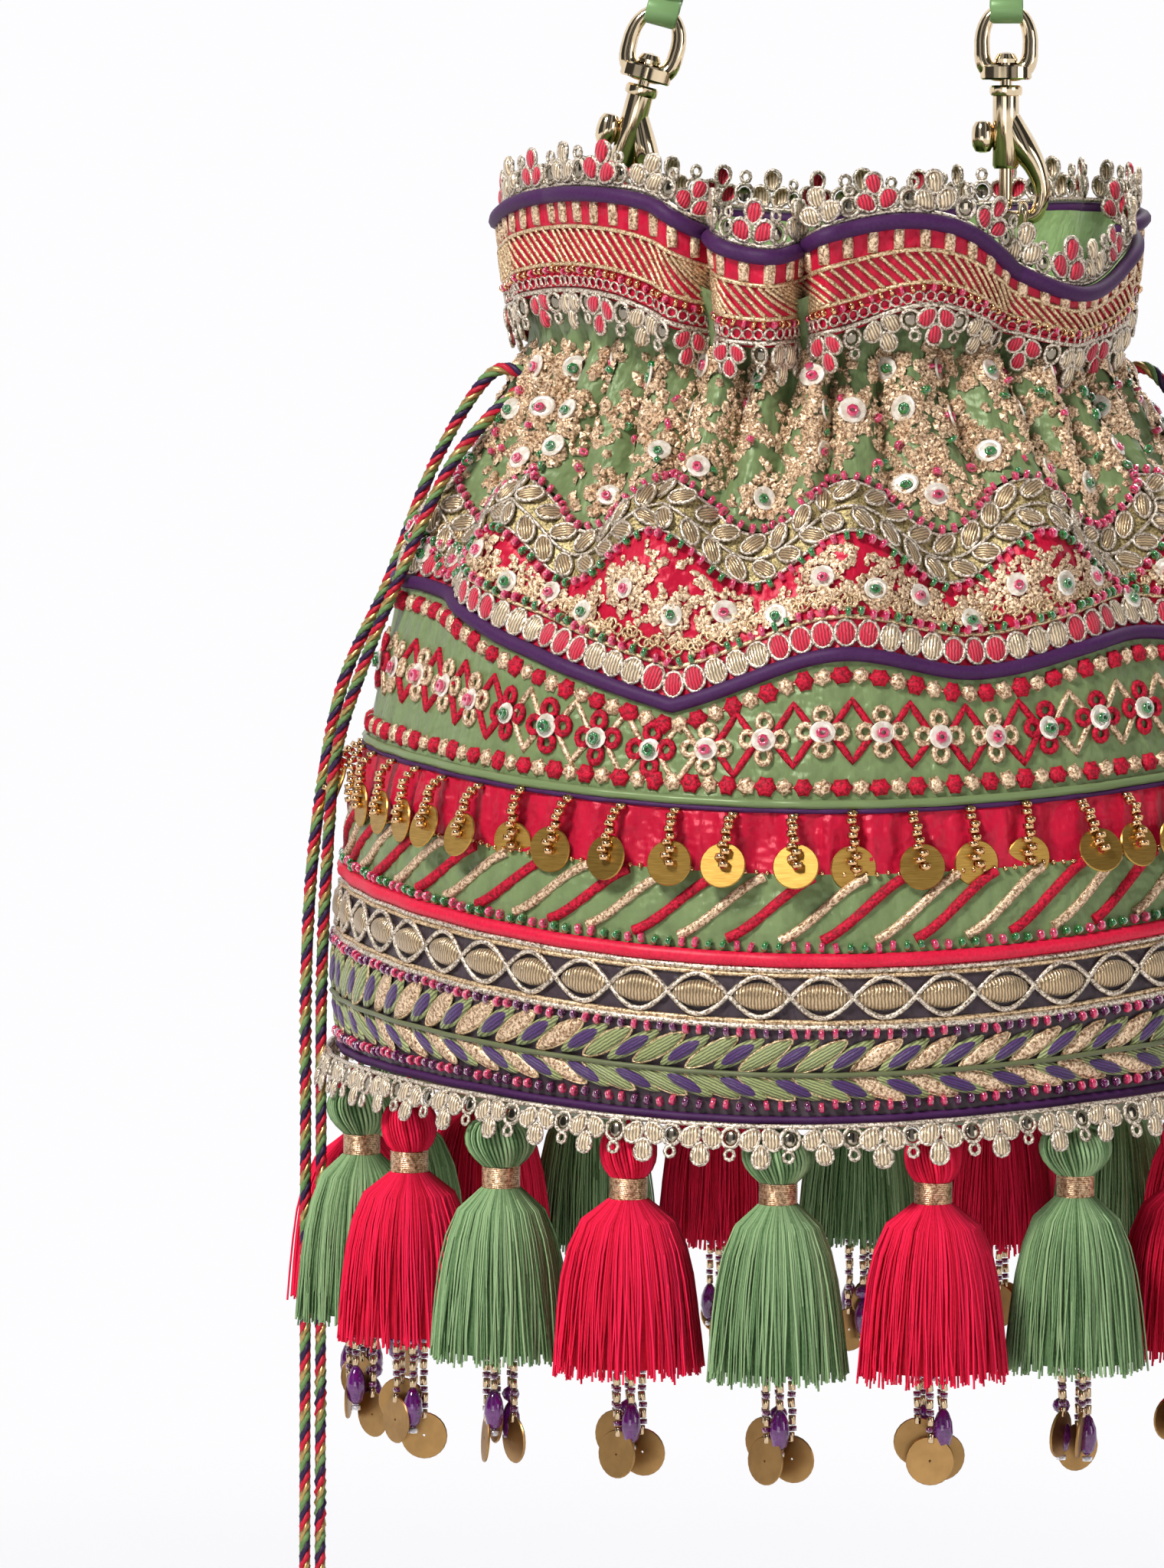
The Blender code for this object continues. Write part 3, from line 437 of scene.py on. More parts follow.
def cloth_radius(a, d):
    """The cloth's outer radius at angles and depths, with its folds and gathers."""
    a, d = np.broadcast_arrays(np.asarray(a, float), np.asarray(d, float))
    at = np.clip(d, 0, 0.219) / 0.0005
    low = np.floor(at).astype(int)
    part = at - low
    base = profile_table[low] * (1 - part) + profile_table[np.minimum(low + 1, 439)] * part
    r = np.radians(a)
    tight = np.clip((d - 0.030) / 0.012, 0, 1) * np.clip((0.078 - d) / 0.026, 0, 1) ** 0.8
    wander = 17 * r + 0.9 * np.sin(3 * r + 1) + 0.6 * np.sin(7 * r) + 9 * (d - 0.04) * np.sin(5 * r + 2) * 3
    puffs = 2 * np.abs(np.cos(wander)) ** 0.75 - 1
    small = np.sin(61 * r + 1.5 * np.sin(9 * r) + 60 * d)
    bulge = np.cos(np.radians(13 * (a - 4.0)))
    pillows = (0.0016 + 0.0044 * bulge) * np.exp(-(((d - 0.078) / 0.017) ** 2))
    pillows = pillows + 0.0011 * np.sin(9 * r + 1.0) * np.exp(-(((d - 0.110) / 0.018) ** 2))
    collar = np.clip(1 - d / CINCH_DEPTH, 0, 1)
    folds = FOLD * collar * np.cos(5 * r + math.radians(40))
    slack = 0.00025 * np.sin(38 * r + 2.2 * np.sin(4 * r) + 70 * d) * np.clip((d - 0.055) / 0.03, 0, 1)
    band = np.exp(-(((d - diamond_low(a) - 0.0075) / 0.0058) ** 4))
    gather = band * (0.0009 * np.sin(47 * r + 2.5 * np.sin(13 * r) + 90 * d)
                     + 0.0003 * np.sin(131 * r + 3 * np.sin(7 * r)))
    share = (crimson_line(a) - 0.0042 - d) / 0.0125
    quilt = np.clip(4 * share * (1 - share), 0, 1) * 0.0009 * np.abs(np.sin(np.radians((a - 9.6 * share) * 33)))
    return base + tight * (0.0044 * puffs + 0.0006 * small) + pillows + folds + slack + gather + quilt


def on_cloth(a, d, out=0.0):
    """Points on the cloth, lifted off it by out, as an array of x, y and z."""
    radius = cloth_radius(a, d) + out
    angle = np.radians(a)
    return np.stack(np.broadcast_arrays(radius * np.sin(angle), -radius * np.cos(angle), MOUTH_Z - d), axis=-1)


def satin(name, colour, wrinkle=0.55, stretch=(1.0, 0.35)):
    """Satin: a close weave with long shiny floats and faint warp lines, bumped into soft gathers whose shade and
    light are also painted into its colour.
    """
    material, nodes, principled = shader(name, colour, 0.34, 0.0, Specular_IOR_Level=0.75,
                                         Specular_Tint=(*[min(1.0, 0.25 + 1.3 * c) for c in colour], 1))
    uv = add_node(nodes, "ShaderNodeUVMap", uv_map="cloth")
    stretcher = add_node(nodes, "ShaderNodeMapping", Scale=(*stretch, 1), Vector=uv.outputs["UV"])
    soft = add_node(nodes, "ShaderNodeTexNoise", Scale=260, Detail=4, Vector=stretcher.outputs["Vector"])
    weave = add_node(nodes, "ShaderNodeTexWave", wave_type="BANDS", bands_direction="X", Scale=1500,
                     Distortion=1.5, Vector=uv.outputs["UV"])
    # Painted shade and light: the broad noise that bumps the gathers also darkens and lightens their colour, as
    # their shaded and lit sides.
    tint = add_node(nodes, "ShaderNodeMix", data_type="RGBA", A=(*[c * 0.62 for c in colour], 1),
                    B=(*[min(c * 1.22 + 0.012, 1) for c in colour], 1), Factor=soft.outputs["Fac"])
    wire(material, tint.outputs["Result"], principled.inputs["Base Color"])
    fine = add_node(nodes, "ShaderNodeBump", Strength=0.12, Distance=0.00015, Height=weave.outputs["Fac"])
    broad = add_node(nodes, "ShaderNodeBump", Strength=wrinkle, Distance=0.0012, Height=soft.outputs["Fac"])
    pucker = add_node(nodes, "ShaderNodeTexNoise", Scale=330, Detail=1, Vector=uv.outputs["UV"])
    quilted = add_node(nodes, "ShaderNodeBump", Strength=0.62, Distance=0.0016, Height=pucker.outputs["Fac"])
    wire(material, fine.outputs["Normal"], broad.inputs["Normal"])
    wire(material, broad.outputs["Normal"], quilted.inputs["Normal"])
    wire(material, quilted.outputs["Normal"], principled.inputs["Normal"])
    return material


sage_satin = satin("sage_satin", srgb(112, 130, 84))
crimson_satin = satin("crimson_satin", srgb(188, 3, 48))
lining_satin = satin("lining_satin", srgb(128, 158, 98))
net_cloth = satin("dark_net", srgb(62, 50, 56))

# The folded collar: crimson satin under gold bars and slanted gold cords, with a bead line, a row of
# small wire rings and a lace edge. It stands out from the neck in broad folds with tight creases.


def places(surface, a, d, out=0.0, turn=0.0, size=1.0):
    """Point, Euler turn and size for each copy; X runs to the right, Y up the cloth, Z out of it."""
    a, d, out, turn = (np.array(v, float).ravel() for v in np.broadcast_arrays(a, d, out, turn))
    point = surface(a, d, out)
    right = surface(a + 0.5, d, out) - surface(a - 0.5, d, out)
    up = surface(a, d - 0.0008, out) - surface(a, d + 0.0008, out)
    right /= np.linalg.norm(right, axis=1)[:, None]
    face = np.cross(right, up)
    face /= np.linalg.norm(face, axis=1)[:, None]
    up = np.cross(face, right)
    c, s = np.cos(np.radians(turn))[:, None], np.sin(np.radians(turn))[:, None]
    right, up = c * right + s * up, c * up - s * right
    euler = np.stack([np.arctan2(up[:, 2], face[:, 2]), np.arcsin(np.clip(-right[:, 2], -1, 1)),
                      np.arctan2(right[:, 1], right[:, 0])], axis=1)
    size = np.broadcast_to(np.asarray(size, float) if np.ndim(size) else np.full(3, float(size)), (len(a), 3))
    return point, euler, size


def along(surface, line, pitch, start=0.0):
    """Angles at even steps along a line round the bag, its depths there and its slope in degrees."""
    a = np.linspace(0, 360, 2881)
    path = surface(a, line(a), 0.0)
    run = np.concatenate([[0], np.cumsum(np.linalg.norm(np.diff(path, axis=0), axis=1))])
    count = max(2, round(run[-1] / pitch / 2) * 2)
    at = np.interp((np.arange(count) + start) / count * run[-1], run, a)
    ahead = surface(at + 0.3, line(at + 0.3), 0.0) - surface(at - 0.3, line(at - 0.3), 0.0)
    flat = np.linalg.norm(ahead[:, :2], axis=1)
    return at, line(at), np.degrees(np.arctan2(ahead[:, 2], flat))


def node_tree(name, inputs):
    group = bpy.data.node_groups.new(name, "GeometryNodeTree")
    for label, kind in (("Geometry", "Geometry"), *inputs):
        group.interface.new_socket(label, in_out="INPUT", socket_type=f"NodeSocket{kind}")
    group.interface.new_socket("Geometry", in_out="OUTPUT", socket_type="NodeSocketGeometry")
    return group, group.nodes.new("NodeGroupInput"), group.nodes.new("NodeGroupOutput")


def chain(group, geometry, kinds):
    """Adds nodes that each take the geometry of the one before; gives them all."""
    added = []
    for kind in kinds:
        node = group.nodes.new(kind)
        group.links.new(geometry, next(s for s in node.inputs if s.type == "GEOMETRY"))
        geometry = next(s for s in node.outputs if s.type == "GEOMETRY")
        added.append(node)
    return added


def grown(group, mesh, values):
    """The plain mesh that a tree makes from a mesh, with the tree's inputs set by identifier."""
    base = bpy.data.objects.new("base", mesh)
    bpy.context.scene.collection.objects.link(base)
    grower = base.modifiers.new("grow", "NODES")
    grower.node_group = group
    for item in group.interface.items_tree:
        if item.item_type == "SOCKET" and item.in_out == "INPUT" and item.name in values:
            grower[item.identifier] = values[item.name]
    bpy.context.view_layer.update()
    graph = bpy.context.evaluated_depsgraph_get()
    made = bpy.data.meshes.new_from_object(base.evaluated_get(graph), depsgraph=graph)
    base.modifiers.remove(grower)
    bpy.data.objects.remove(base)
    return made


copy_tree, start, end = node_tree("copies_on_places", (
    ("Template", "Object"), ("Material", "Material"), ("Jitter", "Float"), ("Seed", "Int")))
info = add_node(copy_tree.nodes, "GeometryNodeObjectInfo", Object=start.outputs["Template"])
turn_read, size_read = (copy_tree.nodes.new("GeometryNodeInputNamedAttribute") for _ in range(2))
turn_read.data_type = size_read.data_type = "FLOAT_VECTOR"
turn_read.inputs["Name"].default_value, size_read.inputs["Name"].default_value = "turn", "size"
wobble = add_node(copy_tree.nodes, "FunctionNodeRandomValue", data_type="FLOAT_VECTOR")
wobble.inputs["Min"].default_value, wobble.inputs["Max"].default_value = (-1, -1, -1), (1, 1, 1)
copy_tree.links.new(start.outputs["Seed"], wobble.inputs["Seed"])
scaled = add_node(copy_tree.nodes, "ShaderNodeVectorMath", operation="SCALE", in_0=wobble.outputs["Value"],
                  Scale=start.outputs["Jitter"])
turned = add_node(copy_tree.nodes, "ShaderNodeVectorMath", operation="ADD",
                  in_0=turn_read.outputs["Attribute"], in_1=scaled.outputs[0])
sized = add_node(copy_tree.nodes, "ShaderNodeVectorMath", operation="MULTIPLY_ADD", in_0=scaled.outputs[0],
                 in_1=size_read.outputs["Attribute"], in_2=size_read.outputs["Attribute"])
rotation = add_node(copy_tree.nodes, "FunctionNodeEulerToRotation", Euler=turned.outputs[0])
instance = add_node(copy_tree.nodes, "GeometryNodeInstanceOnPoints", Points=start.outputs["Geometry"],
                    Instance=info.outputs["Geometry"], Rotation=rotation.outputs["Rotation"],
                    Scale=sized.outputs[0])
real, paint = chain(copy_tree, instance.outputs[0], ("GeometryNodeRealizeInstances", "GeometryNodeSetMaterial"))
copy_tree.links.new(start.outputs["Material"], paint.inputs["Material"])
copy_tree.links.new(paint.outputs[0], end.inputs["Geometry"])
thread_tree, start, end = node_tree("thread_on_paths", (
    ("Radius", "Float"), ("Sides", "Int"), ("Material", "Material")))
section = add_node(thread_tree.nodes, "GeometryNodeCurvePrimitiveCircle", Radius=start.outputs["Radius"],
                   Resolution=start.outputs["Sides"])
curve, skin, smooth, real, paint = chain(thread_tree, start.outputs["Geometry"], (
    "GeometryNodeMeshToCurve", "GeometryNodeCurveToMesh", "GeometryNodeSetShadeSmooth",
    "GeometryNodeRealizeInstances", "GeometryNodeSetMaterial"))
thread_tree.links.new(section.outputs["Curve"], skin.inputs["Profile Curve"])
skin.inputs["Fill Caps"].default_value = True
thread_tree.links.new(start.outputs["Material"], paint.inputs["Material"])
thread_tree.links.new(paint.outputs[0], end.inputs["Geometry"])


def copies(template, spots, material, jitter=0.0, seed=1):
    """One mesh of a template's copies at their places."""
    point, euler, size = spots
    cloud = bpy.data.meshes.new("cloud")
    cloud.from_pydata(point.tolist(), [], [])
    for label, values in (("turn", euler), ("size", size)):
        layer = cloud.attributes.new(label, "FLOAT_VECTOR", "POINT")
        layer.data.foreach_set("vector", np.ascontiguousarray(values, dtype=np.float32).ravel())
    model = bpy.data.objects.new("model", template)
    bpy.context.scene.collection.objects.link(model)
    made = grown(copy_tree, cloud, {"Template": model, "Material": material, "Jitter": jitter, "Seed": seed})
    bpy.data.objects.remove(model)
    made.shade_smooth()
    return made


def threads(paths, radius, material, sides=3, closed=False, seed=5):
    """One mesh of thread along paths of points; each thread has its own tone in 'shade'."""
    points, edges, tones = [], [], []
    tone = np.random.default_rng(seed)
    for path in paths:
        first = len(points)
        points += [tuple(map(float, p)) for p in path]
        edges += [(i, i + 1) for i in range(first, len(points) - 1)]
        if closed:
            edges.append((len(points) - 1, first))
        tones += [tone.random()] * len(path)
    base = bpy.data.meshes.new("paths")
    base.from_pydata(points, edges, [])
    base.attributes.new("shade", "FLOAT", "POINT").data.foreach_set("value", np.array(tones, dtype=np.float32))
    return grown(thread_tree, base, {"Radius": radius, "Sides": sides, "Material": material})


def merged(meshes):
    """Several meshes as one, each keeping its materials."""
    whole, materials = bmesh.new(), []
    for mesh in meshes:
        first = len(whole.faces)
        whole.from_mesh(mesh)
        whole.faces.ensure_lookup_table()
        for material in mesh.materials:
            if material not in materials:
                materials.append(material)
        slots = [materials.index(material) for material in mesh.materials] or [0]
        for face in whole.faces[first:]:
            face.material_index = slots[min(face.material_index, len(slots) - 1)]
    mesh = bpy.data.meshes.new("merged")
    whole.to_mesh(mesh)
    whole.free()
    for material in materials:
        mesh.materials.append(material)
    return mesh


def oval(width, height, count=12, taper=0.0, centre=(0.0, 0.0), turn=0.0):
    """An outline in the cloth's plane; taper makes the low end wider than the high one."""
    points = []
    for index in range(count):
        t = 2 * math.pi * index / count
        x, y = width / 2 * math.sin(t) * (1 - taper * math.cos(t)), height / 2 * math.cos(t)
        c, s = math.cos(math.radians(turn)), math.sin(math.radians(turn))
        points.append((centre[0] + c * x - s * y, centre[1] + s * x + c * y))
    return points


def pads(outlines, height, rings=((1.0, 0.0), (0.92, 0.5), (0.62, 0.88))):
    """Domed pads, one on each outline, with the cloth plane's own metres as their UV map."""
    points, faces = [], []
    for outline in outlines:
        cx, cy = (sum(p[k] for p in outline) / len(outline) for k in (0, 1))
        first, count = len(points), len(outline)
        for part, rise in rings:
            points += [(cx + (x - cx) * part, cy + (y - cy) * part, height * rise) for x, y in outline]
        points.append((cx, cy, height))
        for ring in range(len(rings) - 1):
            for side in range(count):
                after = (side + 1) % count
                low, high = first + ring * count, first + (ring + 1) * count
                faces.append((low + after, low + side, high + side, high + after))
        top = first + (len(rings) - 1) * count
        faces += [(top + (side + 1) % count, top + side, len(points) - 1) for side in range(count)]
    return mesh_of(points, faces, uvs=[(p[0], p[1]) for p in points])


def wires(outlines, wire, sides=5, lift=0.6):
    """Round wire along closed outlines in the cloth's plane."""
    points, faces = [], []
    for outline in outlines:
        first, count = len(points), len(outline)
        for index in range(count):
            before, at, after = outline[index - 1], outline[index], outline[(index + 1) % count]
            along_x, along_y = after[0] - before[0], after[1] - before[1]
            length = math.hypot(along_x, along_y)
            nx, ny = along_y / length, -along_x / length
            for side in range(sides):
                t = 2 * math.pi * side / sides
                points.append((at[0] + nx * wire * math.cos(t), at[1] + ny * wire * math.cos(t),
                               wire * (lift + math.sin(t))))
        faces += tube_faces(count, sides, first, closed=True)
    return mesh_of(points, faces)


def ring_solid(profile, sides=8, axis="X"):
    """A ring whose section is a closed outline of radius and place along its axis."""
    points, faces = [], []
    count = len(profile)
    for side in range(sides):
        t = 2 * math.pi * side / sides
        for radius, at in profile:
            u, v = radius * math.cos(t), radius * math.sin(t)
            points.append((at, u, v) if axis == "X" else ((u, v, at) if axis == "Z" else (v, at, u)))
    for side in range(sides):
        for index in range(count):
            a, b = side * count + index, side * count + (index + 1) % count
            c, e = (side + 1) % sides * count + (index + 1) % count, (side + 1) % sides * count + index
            faces.append((a, b, c, e))
    return mesh_of(points, faces)


def speckled(name, dark, bright, scale, metallic=0.85, roughness=0.42, bump=0.9, depth=0.0003, **more):
    material, nodes, principled = shader(name, bright, roughness, metallic,
                                         **{"Specular_IOR_Level": 0.5 if metallic else 0.25, **more})
    place = add_node(nodes, "ShaderNodeTexCoord")
    cells = add_node(nodes, "ShaderNodeTexNoise", Scale=scale, Detail=2, Roughness=0.7,
                     Vector=place.outputs["Object"])
    # Painted shade and glints: one noise sets both tone and bump, so the low spots of the grain are painted darker,
    # as shade, and the raised ones lighter; between these the tone also changes at random.
    steps = add_node(nodes, "ShaderNodeValToRGB")
    steps.color_ramp.elements[0].position, steps.color_ramp.elements[0].color = 0.36, (*dark, 1)
    steps.color_ramp.elements[1].position, steps.color_ramp.elements[1].color = 0.62, (*bright, 1)
    wire(material, cells.outputs["Fac"], steps.inputs["Fac"])
    wire(material, steps.outputs["Color"], principled.inputs["Base Color"])
    relief = add_node(nodes, "ShaderNodeBump", Strength=bump, Distance=depth, Height=cells.outputs["Fac"])
    wire(material, relief.outputs["Normal"], principled.inputs["Normal"])
    return material


def glass(name, colour, roughness=0.1, clear=0.0):
    return speckled(name, [c * 0.7 for c in colour], colour, 700, 0.0, roughness, 0.08, 0.0002, Coat_Weight=0.7,
                    Coat_Roughness=0.05, Specular_IOR_Level=0.7, Transmission_Weight=clear)


def worn_metal(name, colour, roughness, scale=260, bump=0.05):
    """Smooth plated metal: a slight change of tone and the finest of dents, so reflections break up a little."""
    return speckled(name, [c * 0.84 for c in colour], colour, scale, 1.0, roughness, bump, 0.0002)


# Painted shade and glints: the dark ends of these thread colours stand for shade in the grain's low spots, and the
# near-white ends of the gold and wire colours for glints.
gold_crust = speckled("gold_crust", srgb(128, 88, 52), srgb(252, 222, 186), 1500, 0.55, 0.4)
gold_cord = speckled("gold_cord", srgb(136, 98, 60), srgb(250, 222, 180), 1700, 0.6, 0.38, 0.7)
silver_gold = speckled("silver_gold_wire", srgb(108, 90, 72), srgb(250, 236, 216), 1700, 0.65, 0.33, 0.8)
crimson_thread = speckled("crimson_thread", srgb(112, 2, 22), srgb(206, 12, 50), 1400, 0.0, 0.6, 1.0)
pink_bead = glass("pink_bead", srgb(222, 44, 100), 0.08, 0.25)
gold_bead = worn_metal("gold_bead", srgb(228, 184, 134), 0.16, 900)
bead_section = [(0.0005, -0.0006), (0.00118, -0.0005), (0.00118, 0.0005), (0.0005, 0.0006)]
bead, upright_bead = ring_solid(bead_section, 7), ring_solid(bead_section, 7, "Z")
star = pads([[((0.0019 if k % 2 else 0.0015) * math.sin(math.pi * k / 6),
               (0.0019 if k % 2 else 0.0015) * math.cos(math.pi * k / 6)) for k in range(12)]], 0.0013)
spindle_outline = [(0.0062 * math.sin(math.pi * (k / 8 - 0.5)), 0.0031 * math.cos(math.pi * (k / 8 - 0.5)) ** 1.2)
                   for k in range(9)]
spindle_outline = list(reversed(spindle_outline)) + [(x, -y) for x, y in spindle_outline[1:-1]]
chain_ring = wires([oval(0.0025, 0.0024, 9)], 0.00036, 4)


def bead_line(name, line, colours, surface, pitch=0.0029, out=0.0010, size=1.0, slot=None):
    """Seed beads threaded along a line, in a repeated order of colours."""
    a, d, slope = along(surface, line, pitch)
    loose = np.random.default_rng(len(name))
    d = d + loose.normal(0, 0.00016, len(a))
    parts = []
    for colour in dict.fromkeys(colours):
        chosen = np.array([colours[i % len(colours)] is colour for i in range(len(a))])
        spots = places(surface, a[chosen], d[chosen], out, slope[chosen] + loose.normal(0, 9, chosen.sum()), size)
        parts.append(copies(bead, spots, colour, 0.06, len(parts)))
    return put(name, merged(parts), None, "bag", slot=slot)


def cord_ring(surface, line, radius, material, out=0.0, sides=5, count=360):
    """Round cord sewn along a line all the way round."""
    a = np.arange(count) * 360 / count
    return threads([surface(a, line(a), out)], radius, material, sides, closed=True)


CREASES = ((-21.5, 1.5, 0.0100), (-3.8, 1.3, 0.0105), (36, 4.0, 0.0040), (-57, 5.0, 0.0024), (84, 3.0, 0.0070),
           (119, 3.5, 0.0060), (152, 4.0, 0.0070), (184, 3.0, 0.0080), (216, 4.0, 0.0060), (246, 3.0, 0.0065))
lace_table = closed_curve(((-90, 0.027), (-62, 0.0225), (-40, 0.0235), (-20, 0.0320), (-8, 0.0335), (4, 0.0300),
                           (19, 0.0250), (38, 0.0315), (50, 0.0345), (62, 0.0330), (90, 0.0270), (130, 0.0260),
                           (180, 0.0290), (225, 0.0250)))


def lace_top(a):
    return read_curve(lace_table, a)


def collar_line(part):
    """A line at a part of the way from the rim down to the lace."""
    return lambda a: rim(a) + (lace_top(a) - rim(a)) * part


def collar_surface(a, d, out=0.0):
    a, d, out = np.broadcast_arrays(np.asarray(a, float), np.asarray(d, float), out)
    part = np.clip((d - rim(a)) / (lace_top(a) - rim(a)), -0.5, 1.5)
    low = np.clip(part, 0, 1.3)
    radius = 0.0752 - 0.0030 * low ** 1.5
    for centre, width, dip in CREASES:
        off = (a - centre + 180) % 360 - 180
        dip = dip * (0.6 + 0.4 * low)
        radius = radius - dip * np.exp(-((np.abs(off) / width) ** 1.25))
        radius = radius + dip * 0.30 * np.exp(-(((np.abs(off) - width * 3.6) / (width * 1.9)) ** 2))
    radius = radius + 0.0042 * np.exp(-((((a + 12.5 + 180) % 360 - 180) / 5.5) ** 2))
    radius = radius - 0.0030 * np.exp(-((((a - 84 + 180) % 360 - 180) / 30) ** 2))
    radius = radius + 0.0006 * low * np.sin(np.radians(19 * a) + 2 * np.sin(np.radians(5 * a))) + out
    angle = np.radians(a)
    return np.stack([radius * np.sin(angle), -radius * np.cos(angle), MOUTH_Z - d], axis=-1)


def tier(name, surface, top, bottom, material, rows, columns, slot, *nodes, out=0.0, thick=0.0):
    """A ring of cloth between two lines, with its own UV map in metres along and down."""
    a = np.arange(columns) * 360 / columns
    share = np.linspace(0, 1, rows)[:, None]
    d = top(a)[None, :] * (1 - share) + bottom(a)[None, :] * share
    points = surface(np.broadcast_to(a, d.shape), d, out).reshape(-1, 3)
    faces = [(row * columns + column, (row + 1) * columns + column,
              (row + 1) * columns + (column + 1) % columns, row * columns + (column + 1) % columns)
             for row in range(rows - 1) for column in range(columns)]
    mesh = mesh_of(points, faces)
    layer = mesh.uv_layers.new(name="cloth")
    loops = np.empty(len(mesh.loops), dtype=np.int32)
    mesh.loops.foreach_get("vertex_index", loops)
    row, column = loops // columns, loops % columns
    last = np.arange(len(loops)) // 4 % columns == columns - 1
    turn = np.where(last & (column == 0), columns, column) / columns
    layer.data.foreach_set("uv", np.stack([turn * 2 * np.pi * 0.1, -d[row, column]],
                                          axis=-1).astype(np.float32).ravel())
    piece = put(name, mesh, material, "bag", *nodes, slot=slot)
    if thick:
        wall = piece.modifiers.new("thickness", "SOLIDIFY")
        wall.thickness, wall.offset = thick, -1
    return piece


tier("collar_cloth", collar_surface, collar_line(0.0), collar_line(1.05), crimson_satin, 14, 720, "crimson_satin",
     thick=0.0007)
bars, _, _ = along(collar_surface, collar_line(0.18), 0.0060)
bar_outline = [(x * 0.0011, y) for x, y in ((-1, -0.0024), (-1.15, 0), (-1, 0.0024), (1, 0.0024), (1.15, 0),
                                            (1, -0.0024))]
bar_spots = places(collar_surface, bars, collar_line(0.17)(bars), 0.0, 0.0, (1.05, 1.15, 1.0))
slants = []
slant_starts, _, _ = along(collar_surface, collar_line(0.55), 0.0029)
for a in slant_starts:
    share = np.linspace(0, 1, 7)
    at = a + 5.2 * (share - 0.5)
    slants.append(collar_surface(at, rim(at) + (lace_top(at) - rim(at)) * (0.36 + 0.35 * share), 0.0004))
rings_at, rings_d, rings_slope = along(collar_surface, collar_line(0.895), 0.0026)
collar_trim = merged([
    copies(pads([list(reversed(bar_outline))], 0.0010), bar_spots, gold_crust, 0.06),
    threads(slants, 0.00052, gold_cord, 4),
    cord_ring(collar_surface, collar_line(0.335), 0.00055, gold_cord, 0.0003),
    cord_ring(collar_surface, collar_line(0.725), 0.00055, gold_cord, 0.0003),
    cord_ring(collar_surface, collar_line(0.945), 0.00040, crimson_thread, 0.0003),
    cord_ring(collar_surface, collar_line(0.845), 0.00040, crimson_thread, 0.0003),
    copies(chain_ring, places(collar_surface, rings_at, rings_d, 0.0002, rings_slope), silver_gold, 0.05),
])
put("collar_trim", collar_trim, None, "bag", slot="gold_braid")
bead_line("collar_beads", collar_line(0.79), (gold_bead, gold_bead, pink_bead), collar_surface, 0.0024, 0.0007,
          0.75)

# The laces: the same three-petal drop in wire round crimson or pale-gold stitches, taking turns with
# small wired mirrors. It hangs below the collar, stands above the rim, and edges the hem.


def stitched(name, colour, pitch=0.00075, metallic=0.0, roughness=0.45, along_y=True, bump=0.8):
    material, nodes, principled = shader(name, colour, roughness, metallic, Sheen_Weight=0.2)
    uv = add_node(nodes, "ShaderNodeUVMap", uv_map="cloth")
    ridges = add_node(nodes, "ShaderNodeTexWave", bands_direction="X" if along_y else "Y",
                      Scale=0.314 / pitch, Distortion=2.5, Detail_Scale=2.0, Vector=uv.outputs["UV"])
    # Painted shade: the colour follows the stitch ridges, much darker in the grooves between them where shade falls
    # and lighter on their crests.
    tint = add_node(nodes, "ShaderNodeMix", data_type="RGBA", A=(*[c * 0.38 for c in colour], 1),
                    B=(*[min(c * 1.25 + 0.01, 1) for c in colour], 1), Factor=ridges.outputs["Fac"])
    wire(material, tint.outputs["Result"], principled.inputs["Base Color"])
    relief = add_node(nodes, "ShaderNodeBump", Strength=bump, Distance=0.0002, Height=ridges.outputs["Fac"])
    wire(material, relief.outputs["Normal"], principled.inputs["Normal"])
    return material


pale_gold_fill = stitched("pale_gold_fill", srgb(226, 202, 168), metallic=0.65, roughness=0.32)
crimson_fill = stitched("crimson_fill", srgb(206, 6, 52), roughness=0.5)
mirror = worn_metal("lace_mirror", srgb(158, 148, 132), 0.14, 400)
drop_outlines = [oval(0.0037, 0.0049, 12, 0.22, (-0.0023, -0.0028), -38),
                 oval(0.0037, 0.0049, 12, 0.22, (0.0023, -0.0028), 38),
                 oval(0.0036, 0.0048, 12, 0.22, (0.0, -0.0066), 0)]
lace_drop, lace_drop_wire = pads(drop_outlines, 0.0012), wires(drop_outlines, 0.00048)
pendant_outlines = [oval(0.0042, 0.0046, 12, 0, (0, -0.0028)), oval(0.0022, 0.0024, 8, 0, (0, -0.0066))]
pendant_wire, pendant_glass = wires(pendant_outlines, 0.00048), pads([oval(0.0030, 0.0034, 10, 0,
    (0, -0.0028))], 0.0004)


def lace(name, surface, line, pitch, upward, fills, flip_out, slot, *nodes, size=1.0, flare=0.0):
    a, d, slope = along(surface, line, pitch)
    turn = slope + (180 if upward else 0)
    rock = np.random.default_rng(len(name) + 3)
    turn = turn + rock.normal(0, 7 if upward else 4, len(a))
    grow = size * (1 + rock.normal(0, 0.05, len(a)))[:, None] * np.ones(3)
    main = np.arange(len(a)) % 2 == 0

    def sewn(pick):
        at = places(surface, a[pick], d[pick], flip_out, turn[pick], grow[pick])
        return at[0], at[1] - np.array([[flare, 0, 0]]), at[2]

    parts = [copies(lace_drop_wire, sewn(main), silver_gold, 0.04),
             copies(pendant_wire, sewn(~main), silver_gold, 0.04),
             copies(pendant_glass, sewn(~main), mirror, 0.04)]
    kind = np.arange(len(a)) // 2 % len(fills)
    for index, fill in enumerate(fills):
        chosen = main & (kind == index)
        parts.append(copies(lace_drop, sewn(chosen), fill, 0.04))
    parts.append(cord_ring(surface, line, 0.0006, silver_gold, flip_out))
    return put(name, merged(parts), None, "bag", *nodes, slot=slot)


